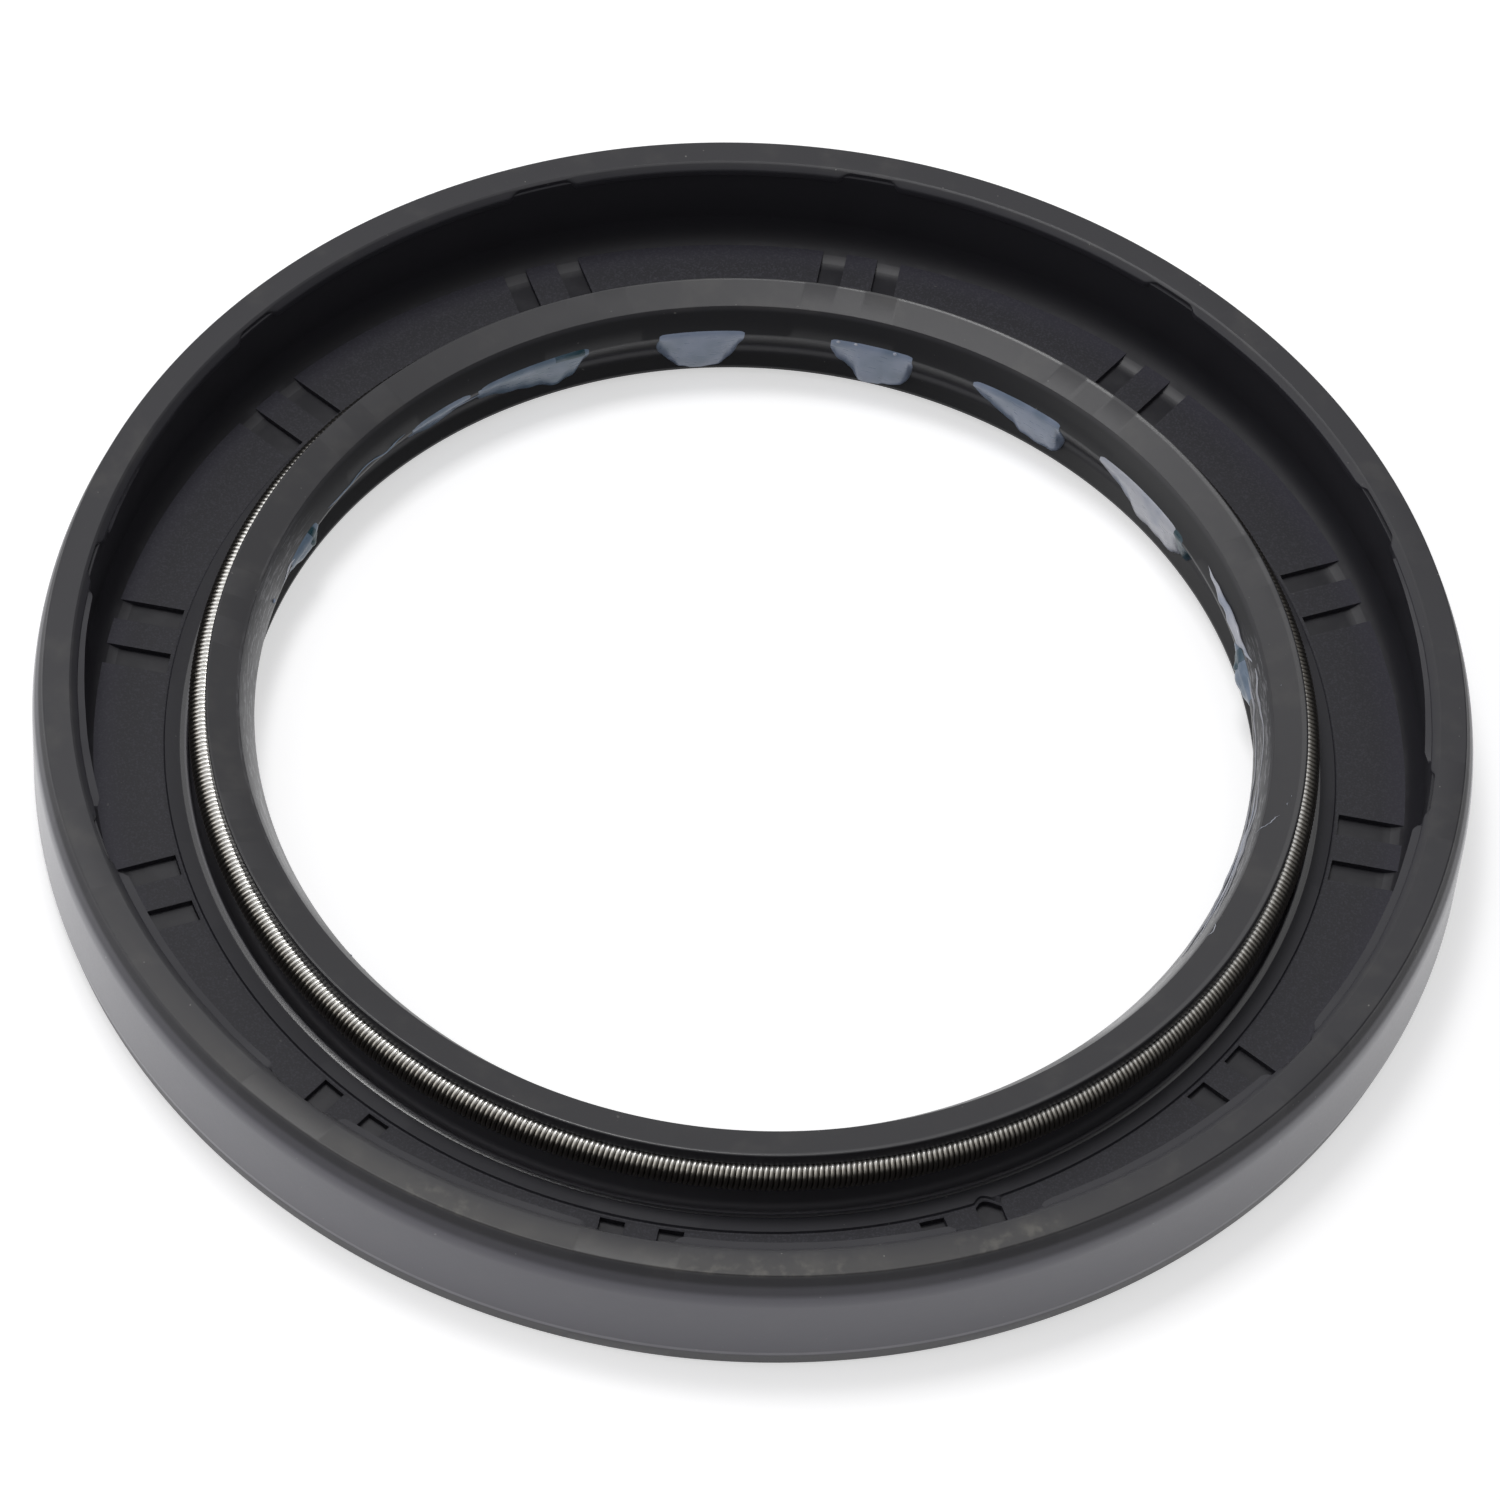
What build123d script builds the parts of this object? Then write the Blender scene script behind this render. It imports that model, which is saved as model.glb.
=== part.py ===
from build123d import *

import os
from math import cos, radians, sqrt, tan

# Radial shaft seal for a 70 mm shaft in a 100 mm housing bore, 10 mm wide.
#
# An L-shaped steel case is moulded into a rubber body.  The rubber covers the case outside,
# below and over its rim, and carries a sprung main lip and a dust lip.  The case stays bare
# on the inside of its wall and at the bottom of the pockets where the mould held it.
#
# Lengths are in millimetres.  Z is the seal's axis, the back face lies on Z = 0 and the
# spring side faces up.  Every section is drawn in the XZ plane, X being the radius.

# ---------------------------------------------------------------- driving dimensions

# Shaft, housing and width
shaft_diameter = 70.0
outside_diameter = 100.0
seal_width = 10.0

# Steel case
sheet_thickness = 1.0
case_bend_radius = 2.6  # inside of the bend between wall and flange
flange_flat = 0.5  # a narrower flange keeps this much flat and gets a tighter bend

# Rubber over the case
outer_cover = 2.0  # outside the case wall
back_cover = 1.0  # below the flange
rim_cover = 0.4  # above the wall's free end
floor_cover = 0.45  # above the flange
flange_edge_cover = 0.45  # round the flange's bore, below the ring's crest

# Outside edges
back_chamfer_height = 1.5
back_chamfer_angle = 13.0  # from the axis
back_edge_radius = 0.3
lead_in_height = 2.1
lead_in_angle = 19.65  # from the axis
lead_in_blend = 4.0
rim_edge_radius = 0.15

# Flash strip: a thin skin that laps over the inner edge of the rim, down the case wall
strip_land = 0.35  # from the case wall out to the step in the rim
strip_step = 0.07
strip_shoulder_depth = 0.38  # below the rim's top face
strip_depth = 0.9  # below the rim's top face
strip_thickness = 0.2
strip_draft = 0.06  # the strip's face leans out by this much from foot to shoulder

# Mould supports, spread evenly round the seal
support_count = 12
gap_width = 3.2  # gap in the flash strip, measured along its deep side
gap_flare = 0.55  # each end of the strip tapers over this length
gap_depth = 0.2  # bites this far into the rubber behind the case wall
gap_corner_radius = 0.15
pocket_width = 1.74
pocket_bar = 2.27  # rubber left between the two pockets of a support

# Main lip
lip_interference = 0.2  # radial, between the free sealing edge and the shaft
edge_height = 5.35  # middle of the sealing edge, above the back face
edge_land = 0.3  # width of the flat on the sealing edge
oil_side_angle = 33.0  # from the axis
air_side_angle = 29.5  # from the axis
head_width = 3.4  # from the sealing edge to the outside of the lip head
head_height = 7.78  # outer top edge of the lip head, above the back face
head_slope = 0.5  # the head's top face falls by this much towards the shaft

# Garter spring, a closely wound coil joined into a ring, drawn as its tubular envelope
coil_diameter = 2.24
wire_diameter = 0.365
spring_offset = 3.5  # from the sealing edge out to the coil's centre line
spring_lead = 0.25  # from the sealing edge up to the coil's centre line
spring_clearance = 0.03  # radial, between the coil and its groove
groove_lip_inset = 0.35  # the lower groove lip ends this far inside the coil's centre line

# Flexible neck between the lip head and the well
waist_height = 3.25  # narrowest place of the neck, above the back face
waist_thickness = 1.5  # measured square to the axis
waist_radius = 1.2

# Well and ring round the foot of the neck
well_offset = 3.3  # from the sealing edge out to the well's inner side
well_width = 1.2
well_floor_height = 1.5
well_corner_radius = 0.55
ring_draft = 0.27  # the ring's inner side leans out by this much
ring_width = 1.38
ring_outer_rise = 0.15  # above the floor
ring_inner_rise = 0.3  # above the floor
ring_edge_radius = 0.2

# Dust lip
dust_lip_clearance = 0.5  # radial, between the dust lip and the shaft
dust_tip_height = 1.1
dust_tip_thickness = 0.25
dust_root_height = 2.2
dust_root_radius = 0.8
dust_foot_height = 0.4
dust_foot_offset = 1.5  # from the sealing edge
back_bore_offset = 1.7  # from the sealing edge out to the bore of the back face

# ---------------------------------------------------------------- derived places

shaft_radius = shaft_diameter / 2
seal_radius = shaft_radius - lip_interference
outer_radius = outside_diameter / 2

case_outer = outer_radius - outer_cover
case_inner = case_outer - sheet_thickness
case_middle = (case_outer + case_inner) / 2
case_top = seal_width - rim_cover
flange_bottom = back_cover
flange_top = flange_bottom + sheet_thickness
floor_height = flange_top + floor_cover

well_inner = seal_radius + well_offset
well_outer = well_inner + well_width
ring_inner = well_outer + ring_draft
ring_outer = ring_inner + ring_width
flange_bore = ring_inner + flange_edge_cover

bend_radius = min(case_bend_radius, case_inner - flange_bore - flange_flat)
bend_top = flange_top + bend_radius  # the wall's straight part begins here
bend_reach = (bend_radius + sheet_thickness / 2) * cos(radians(45))
bend_middle = case_inner - bend_radius + bend_reach  # middle of the sheet, halfway round
floor_reach = sqrt(bend_radius**2 - (bend_radius - floor_cover) ** 2)
floor_end = case_inner - bend_radius + floor_reach  # the floor runs out on the bend here

back_chamfer_foot = outer_radius - back_chamfer_height * tan(radians(back_chamfer_angle))
lead_in_foot = seal_width - lead_in_height
rim_outer = outer_radius - lead_in_height * tan(radians(lead_in_angle))
rim_inner = case_inner + strip_land
strip_face = case_inner - strip_thickness
strip_foot = seal_width - strip_depth
strip_shoulder = seal_width - strip_shoulder_depth
gap_radius = case_inner + gap_depth

land_top = edge_height + edge_land / 2
land_bottom = edge_height - edge_land / 2
head_inner_height = head_height - head_slope
head_inner = seal_radius + (head_inner_height - land_top) * tan(radians(oil_side_angle))
head_outer = seal_radius + head_width

spring_radius = seal_radius + spring_offset
spring_height = edge_height + spring_lead
groove_radius = coil_diameter / 2 + spring_clearance
groove_lip = spring_radius - groove_lip_inset


def air_side(height):
    """Radius of the main lip's air side at a height."""
    return seal_radius + (land_bottom - height) * tan(radians(air_side_angle))


def groove_rise(radius):
    """Height of the groove's wall above or below the coil's centre line at a radius."""
    return sqrt(groove_radius**2 - (spring_radius - radius) ** 2)


def corner(section, place):
    """The corner of a section nearest to a place."""
    return section.vertices().sort_by_distance(place)[0]


dust_tip = shaft_radius + dust_lip_clearance
dust_foot = seal_radius + dust_foot_offset
back_bore = seal_radius + back_bore_offset

# ---------------------------------------------------------------- steel case

with BuildPart() as steel_case:
    with BuildSketch(Plane.XZ) as case_section:
        with BuildLine():
            Polyline(
                (flange_bore, flange_bottom),
                (case_outer, flange_bottom),
                (case_outer, case_top),
                (case_inner, case_top),
                (case_inner, flange_top),
                (flange_bore, flange_top),
                close=True,
            )
        make_face()
        fillet(corner(case_section, (case_inner, flange_top)), bend_radius)
        bend_outside_radius = bend_radius + sheet_thickness
        fillet(corner(case_section, (case_outer, flange_bottom)), bend_outside_radius)
    revolve(axis=Axis.Z)

# ---------------------------------------------------------------- garter spring

with BuildPart() as garter_spring:
    with BuildSketch(Plane.XZ):
        with Locations((spring_radius, spring_height)):
            Circle(coil_diameter / 2)
            Circle(coil_diameter / 2 - wire_diameter, mode=Mode.SUBTRACT)
    revolve(axis=Axis.Z)

# ---------------------------------------------------------------- rubber body

with BuildPart() as rubber_body:
    with BuildSketch(Plane.XZ) as body_section:
        with BuildLine():
            # Back face, outside, rim and flash strip, then down inside the sheet to the floor
            strip_end = (case_middle, strip_foot)
            floor_start = (bend_middle, floor_height)
            Polyline(
                (back_bore, 0),
                (back_chamfer_foot, 0),
                (outer_radius, back_chamfer_height),
                (outer_radius, lead_in_foot),
                (rim_outer, seal_width),
                (rim_inner, seal_width),
                (rim_inner, seal_width - strip_step),
                (strip_face + strip_draft, strip_shoulder),
                (strip_face, strip_foot),
                strip_end,
                (case_middle, bend_top),
                floor_start,
            )
            # Floor, ring, well and neck, up to the lower lip of the spring groove
            waist = (air_side(waist_height) + waist_thickness, waist_height)
            groove_bottom = (groove_lip, spring_height - groove_rise(groove_lip))
            Polyline(
                floor_start,
                (ring_outer, floor_height),
                (ring_outer, floor_height + ring_outer_rise),
                (ring_inner, floor_height + ring_inner_rise),
                (well_outer, well_floor_height),
                (well_inner, well_floor_height),
                waist,
                groove_bottom,
            )
            # Spring groove, round the inner side of the coil
            groove_top = (head_outer, spring_height + groove_rise(head_outer))
            groove_back = (spring_radius - groove_radius, spring_height)
            ThreePointArc(groove_bottom, groove_back, groove_top)
            # Lip head, sealing edge, air side and dust lip
            Polyline(
                groove_top,
                (head_outer, head_height),
                (head_inner, head_inner_height),
                (seal_radius, land_top),
                (seal_radius, land_bottom),
                (air_side(dust_root_height), dust_root_height),
                (dust_tip, dust_tip_height),
                (dust_tip, dust_tip_height - dust_tip_thickness),
                (dust_foot, dust_foot_height),
                (back_bore, 0),
            )
        make_face()

        rounded_corners = [
            ((back_chamfer_foot, 0), back_edge_radius),
            ((outer_radius, lead_in_foot), lead_in_blend),
            ((rim_outer, seal_width), rim_edge_radius),
            ((ring_inner, floor_height + ring_inner_rise), ring_edge_radius),
            ((well_outer, well_floor_height), well_corner_radius),
            ((well_inner, well_floor_height), well_corner_radius),
            (waist, waist_radius),
            ((air_side(dust_root_height), dust_root_height), dust_root_radius),
        ]
        for place, radius in rounded_corners:
            fillet(corner(body_section, place), radius)
    revolve(axis=Axis.Z)

    # The case's own space
    add(steel_case.part, mode=Mode.SUBTRACT)

    # Pockets of the mould supports, through the floor's rubber to the flange and its bend
    pocket_base = flange_top - sheet_thickness / 4
    pocket_end = floor_end + sheet_thickness / 5
    with BuildSketch(Plane.XY.offset(pocket_base)):
        pocket_length = pocket_end - ring_inner
        with PolarLocations((pocket_end + ring_inner) / 2, support_count):
            pocket_pitch = pocket_bar + pocket_width
            with Locations((0, -pocket_pitch / 2), (0, pocket_pitch / 2)):
                Rectangle(pocket_length, pocket_width)
        Circle(ring_outer, mode=Mode.SUBTRACT)
    extrude(amount=seal_width / 2 - pocket_base, mode=Mode.SUBTRACT)

    # Gaps of the mould supports in the flash strip, one drawn across the X axis
    with BuildSketch(Plane.XY.offset(strip_foot - strip_depth / 2)) as gap_plan:
        with BuildLine():
            deep_half = gap_width / 2
            open_half = deep_half + gap_flare
            deep_place = sqrt(gap_radius**2 - deep_half**2)
            open_place = strip_face - strip_thickness
            ThreePointArc((deep_place, -deep_half), (gap_radius, 0), (deep_place, deep_half))
            Polyline(
                (deep_place, deep_half),
                (open_place, open_half),
                (open_place, -open_half),
                (deep_place, -deep_half),
            )
        make_face()
        fillet(gap_plan.vertices().group_by(Axis.X)[-1], gap_corner_radius)
    gap = extrude(gap_plan.sketch, amount=strip_depth * 2, mode=Mode.PRIVATE)
    with PolarLocations(0, support_count):
        add(gap, mode=Mode.SUBTRACT)

# ---------------------------------------------------------------- export

os.makedirs("parts", exist_ok=True)
steel_case.part.label = "steel_case"
garter_spring.part.label = "garter_spring"
rubber_body.part.label = "rubber_body"
export_step(steel_case.part, "parts/steel_case.step")
export_step(garter_spring.part, "parts/garter_spring.step")
export_step(rubber_body.part, "parts/rubber_body.step")
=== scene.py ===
import math
import random

import bpy
import numpy as np
from bpy.props import FloatProperty, FloatVectorProperty, IntProperty, PointerProperty
from mathutils import Matrix, Vector


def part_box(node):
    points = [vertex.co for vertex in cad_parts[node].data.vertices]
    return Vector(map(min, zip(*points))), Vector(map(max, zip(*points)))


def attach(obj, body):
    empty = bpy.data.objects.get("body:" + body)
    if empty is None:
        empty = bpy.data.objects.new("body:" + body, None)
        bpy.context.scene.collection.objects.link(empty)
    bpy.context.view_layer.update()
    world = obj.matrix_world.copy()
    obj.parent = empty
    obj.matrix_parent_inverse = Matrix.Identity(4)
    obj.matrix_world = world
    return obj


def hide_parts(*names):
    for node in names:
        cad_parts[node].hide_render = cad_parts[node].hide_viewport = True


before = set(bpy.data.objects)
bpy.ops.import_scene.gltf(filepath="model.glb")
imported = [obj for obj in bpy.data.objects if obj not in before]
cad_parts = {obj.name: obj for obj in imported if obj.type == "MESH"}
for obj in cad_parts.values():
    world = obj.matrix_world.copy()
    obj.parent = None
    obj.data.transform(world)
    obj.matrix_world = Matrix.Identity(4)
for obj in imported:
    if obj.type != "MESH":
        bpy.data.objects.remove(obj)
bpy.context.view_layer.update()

bl_info = {
    "name": "Radial shaft seal",
    "version": (1, 0, 0),
    "blender": (4, 5, 0),
    "location": "3D View > Sidebar > Shaft Seal",
    "description": "Builds a rubber covered shaft seal with its garter spring and grease",
    "category": "Object",
}

MM = 0.001
BODY = "root"


# ---------------------------------------------------------------- sizes and colours


def length(name, description, millimetres):
    """A size that the user sees as a length, given here in millimetres."""
    return FloatProperty(
        name=name, description=description, default=millimetres * MM, unit="LENGTH", precision=6
    )


def colour(name, description, red, green, blue):
    """A colour, given as linear light."""
    return FloatVectorProperty(
        name=name, description=description, default=(red, green, blue), subtype="COLOR",
        size=3, min=0, max=1
    )


def share(name, description, value):
    """A plain number from 0 to 1."""
    return FloatProperty(
        name=name, description=description, default=value, min=0, max=1, subtype="FACTOR"
    )


def number(name, description, value, unit="NONE"):
    """A plain number, or one with a unit of its own."""
    return FloatProperty(name=name, description=description, default=value, unit=unit)


def turn(name, description, degrees):
    """An angle, given here in degrees."""
    return FloatProperty(
        name=name, description=description, default=math.radians(degrees), subtype="ANGLE"
    )


class SectionSizes(bpy.types.PropertyGroup):
    """Sizes of the moulded section that the frame's boxes don't give."""

    sheet: length("Sheet", "Thickness of the steel sheet", 1.0)
    bend: length("Bend", "Inside radius of the case's bend", 2.6)
    floor_cover: length("Floor cover", "Rubber above the flange", 0.45)
    edge_cover: length("Edge cover", "Rubber round the flange's bore", 0.45)
    back_chamfer: length("Back chamfer", "Height of the chamfer at the back face", 1.5)
    back_chamfer_angle: turn("Back chamfer angle", "Slope of the chamfer, from the axis", 13.0)
    back_edge: length("Back edge", "Radius of the back face's outer edge", 0.3)
    lead_in: length("Lead-in", "Height of the lead-in cone", 2.1)
    lead_in_angle: turn("Lead-in angle", "Slope of the lead-in, from the axis", 19.65)
    lead_in_blend: length("Lead-in blend", "Radius between the wall and the lead-in", 4.0)
    rim_edge: length("Rim edge", "Radius of the rim's outer edge", 0.15)
    strip_land: length("Strip land", "From the case wall out to the step in the rim", 0.35)
    strip_step: length("Strip step", "Height of the step in the rim", 0.07)
    strip_shoulder: length("Strip shoulder", "Depth of the strip's shoulder below the rim", 0.38)
    strip_depth: length("Strip depth", "Depth of the flash strip's foot below the rim", 0.9)
    strip_thickness: length("Strip thickness", "Thickness of the strip on the case wall", 0.2)
    fin: length("Fin", "Greatest reach of the flash past the strip's face", 0.5)
    fin_margin: length("Fin margin", "How much wider its gap is than the strip's, each end", 1.2)
    fin_angle: turn("Fin angle", "Where the flash reaches furthest, from +X", 280.0)
    gap_flare: length("Gap flare", "Length over which the flash strip tapers into a gap", 0.9)
    gap_depth: length("Gap depth", "How far a gap bites into the rubber behind the case wall", 0.2)
    pocket_width: length("Pocket width", "Width of a mould pocket", 1.74)
    pocket_bar: length("Pocket bar", "Rubber between the two pockets of a pair", 2.27)
    parting_groove: length("Parting groove", "Width of the parting line in the floor", 0.32)
    parting_depth: length("Parting depth", "Depth of the parting line in the floor", 0.03)
    ring_width: length("Ring width", "Width of the ring round the well", 1.38)
    ring_rise: length("Ring rise", "Ring's face above the floor", 0.19)
    ring_bead: length("Ring bead", "Width of the bead along the ring's inner edge", 0.52)
    ring_bead_rise: length("Ring bead rise", "Top of the bead above the floor", 0.29)
    ring_overhang: length("Ring overhang", "How far the bead stands out over the well", 0.28)
    ring_edge: length("Ring edge", "Radius of the ring's inner edge", 0.14)
    ring_draft: length("Ring draft", "How far the ring's inner side leans out", 0.27)
    well_offset: length("Well offset", "From the sealing edge out to the well", 3.3)
    well_width: length("Well width", "Width of the well", 1.2)
    well_floor: length("Well floor", "Height of the well's floor above the back face", 1.5)
    well_corner: length("Well corner", "Radius of the well's corners", 0.55)
    waist_height: length("Waist height", "Height of the neck's waist above the back face", 3.25)
    waist: length("Waist", "Thickness of the neck at its waist", 1.5)
    waist_round: length("Waist radius", "Radius of the neck at its waist", 1.2)
    edge_height: length("Edge height", "Height of the sealing edge above the back face", 5.35)
    edge_land: length("Edge land", "Width of the flat on the sealing edge", 0.3)
    oil_angle: turn("Oil side", "Slope of the lip's oil side, from the axis", 33.0)
    air_angle: turn("Air side", "Slope of the lip's air side, from the axis", 29.5)
    head_width: length("Head width", "From the sealing edge to the outside of the lip head", 3.4)
    head_lap: length("Head lap", "How far the head's outer edge laps further over the coil", 0.1)
    head_height: length("Head height", "Height of the lip head's outer top edge", 7.78)
    head_slope: length("Head slope", "Fall of the lip head's top towards the shaft", 0.5)
    head_edge: length("Head edge", "Radius of the lip head's inner edge", 0.09)
    head_shoulder: length("Head shoulder", "Radius of the lip head's outer edge", 0.15)
    lean: length("Lean", "How far the soft lip's head leans to one side", 0.2)
    lean_angle: turn("Lean direction", "Way that the lip leans, from +X", 6.08)
    groove_clearance: length("Groove clearance", "Between the spring and its groove", 0.03)
    groove_lip_inset: length("Groove lip inset", "Coil's centre line to the lower groove lip", 0.35)
    dust_tip_offset: length(
        "Dust tip offset", "From the sealing edge to the dust lip's tip", 0.7
    )
    dust_tip_height: length("Dust tip height", "Height of the tip above the back face", 1.1)
    dust_tip: length("Dust tip", "Thickness of the dust lip's tip", 0.25)
    dust_round: length("Dust tip radius", "Radius of the dust lip's tip edges", 0.06)
    dust_root_height: length("Dust root height", "Height of the root above the back face", 2.2)
    dust_root: length("Dust root radius", "Radius between the lips", 0.8)
    dust_foot_height: length("Dust foot height", "Height of the underside at the foot", 0.4)
    dust_foot_offset: length(
        "Dust foot offset", "From the sealing edge to the lip's foot", 1.5
    )
    back_bore_offset: length("Back bore offset", "From the sealing edge out to the back face", 1.7)


class RubberFinish(bpy.types.PropertyGroup):
    """Colours of the moulded rubber."""

    inside: colour("Inside", "Rubber of the floor and the ring", 0.021, 0.0205, 0.026)
    rim: colour("Rim", "Rubber of the rim's face", 0.024, 0.0235, 0.028)
    side: colour("Side", "Rubber of the outside wall", 0.039, 0.0365, 0.056)
    # Darker than the wall as painted shade on the back chamfer, standing in for its dark reflection
    # near the floor
    foot: colour("Foot", "Rubber of the back chamfer", 0.020, 0.019, 0.025)
    # Painted highlight: a pale line along the top of the back chamfer, standing in for the light
    # that its edge catches
    edge_highlight: colour("Worn edge", "Rubber rubbed pale along the back chamfer", 0.19, 0.185, 0.21)
    # Lighter than the floor as painted light, making up for the shade that the well and the neck
    # lie in
    well: colour("Well", "Rubber of the well and the neck", 0.066, 0.064, 0.074)
    # Darker than the wall as painted shade, standing in for the dark reflection on the lead-in cone
    lead_in: colour("Lead-in", "Rubber of the lead-in cone", 0.018, 0.0172, 0.021)
    head: colour("Lip head", "Rubber of the lip head's top", 0.024, 0.0235, 0.027)
    # Much darker than the rest of the rubber as painted shade in the hollow between the lips and on
    # the oil side
    lips: colour("Lips", "Rubber of the oil side and the air side", 0.007, 0.007, 0.009)
    bloom: colour("Bloom", "Pale bloom on handled rubber", 0.11, 0.105, 0.095)
    dust: colour("Dust", "Dust and talc", 0.36, 0.35, 0.33)
    film: colour("Grease film", "Thin grease smeared on the lip", 0.19, 0.19, 0.205)
    roughness: share("Roughness", "Roughness of plain rubber", 0.4)
    gloss: share("Gloss", "Strength of plain rubber's reflection", 0.38)


class CaseFinish(bpy.types.PropertyGroup):
    """Colours of the coated case."""

    coat: colour("Bonding coat", "Black coat on the bare steel", 0.020, 0.0195, 0.024)
    # Used both for the mottle rubbed in the pockets and for the painted highlight at the bend's
    # start
    scuff_and_sheen: colour("Scuffed coat", "Coat rubbed thin by the mould supports", 0.055, 0.054, 0.06)
    roughness: share("Roughness", "Roughness of the coat", 0.42)
    gloss: share("Gloss", "Strength of the coat's reflection", 0.3)


class SpringSizes(bpy.types.PropertyGroup):
    """The coil of the garter spring."""

    wire: length("Wire", "Diameter of the wire", 0.365)
    turns: IntProperty(
        name="Turns", description="Turns of wire round the ring", default=657, min=8
    )
    joint_angle: turn("Joint", "Place of the joint round the seal, from +X", 216.5)
    joint_gap: length("Joint gap", "Space left between the coil's two ends", 0.02)
    steel: colour("Wire", "Bright drawn wire", 0.80, 0.79, 0.765)
    # Painted shade in a brown tone, laid on the wire's lower and outer side
    wire_shade: colour("Oiled wire", "Brown oil between the turns", 0.17, 0.15, 0.12)
    roughness: share("Roughness", "Roughness of the wire", 0.3)


class GreaseSettings(bpy.types.PropertyGroup):
    """Assembly grease left on the lips."""

    pale: colour("Pale grease", "Thick grease", 0.20, 0.24, 0.33)
    blue: colour("Blue grease", "Thinner grease, with the dye showing", 0.095, 0.14, 0.20)
    teal: colour("Teal grease", "Dye gathered in the grease", 0.004, 0.035, 0.05)
    grey: colour("Grey grease", "Grease worked thin and grey", 0.26, 0.265, 0.29)
    white: colour("White grease", "Grease worked to a white paste", 0.40, 0.41, 0.46)
    overhang: share("Overhang", "Share of the oil side's width that a dab laps over", 0.22)
    seat: length("Seat", "How deep a dab's foot sits in the rubber's face", 0.03)
    roughness: share("Roughness", "Roughness of the grease", 0.3)


class StageSettings(bpy.types.PropertyGroup):
    """Floor, lights and camera."""

    floor: colour("Floor", "Pale floor", 0.80, 0.80, 0.81)
    floor_glow: number("Floor glow", "Light of its own that the floor shows", 0.5)
    world: number("World light", "Strength of the light all round", 0.45)
    key: number("Overhead light", "Power of the soft box overhead", 1.5, "POWER")
    fill: number("Left light", "Power of the low soft box", 1.15, "POWER")
    front_gloss: share("Front gloss", "Brightness of gloss from the camera's side", 0.15)
    right_dim: share(
        "Right dimming", "How far gloss from the right is dimmed as well", 0.95
    )
    camera_distance: length("Camera distance", "From the aim point to the camera", 549.65)
    camera_azimuth: turn("Camera azimuth", "Round the seal, from the front", 6.08)
    camera_elevation: turn("Camera elevation", "Above the horizon", 52.976)
    camera_roll: turn("Camera roll", "Turn about the line of sight", 5.191)
    aim_right: length("Aim right", "Aim point, to the camera's right of the axis", -0.075)
    aim_back: length("Aim back", "Aim point, behind the axis", 1.302)
    lens_share: number("Lens", "Focal length as a share of the picture's width", 5.2236)


# ---------------------------------------------------------------- section

COIL_OFFSET = 0.1  # mm from the head's outer edge, before its lap, to the coil's centre line


def leg(longest, other):
    """The third side of a right-angled triangle."""
    return math.sqrt(longest**2 - other**2)


def corners_of(node):
    """A node's lowest and highest corners in millimetres."""
    return [np.array(corner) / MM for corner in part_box(node)]


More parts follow.
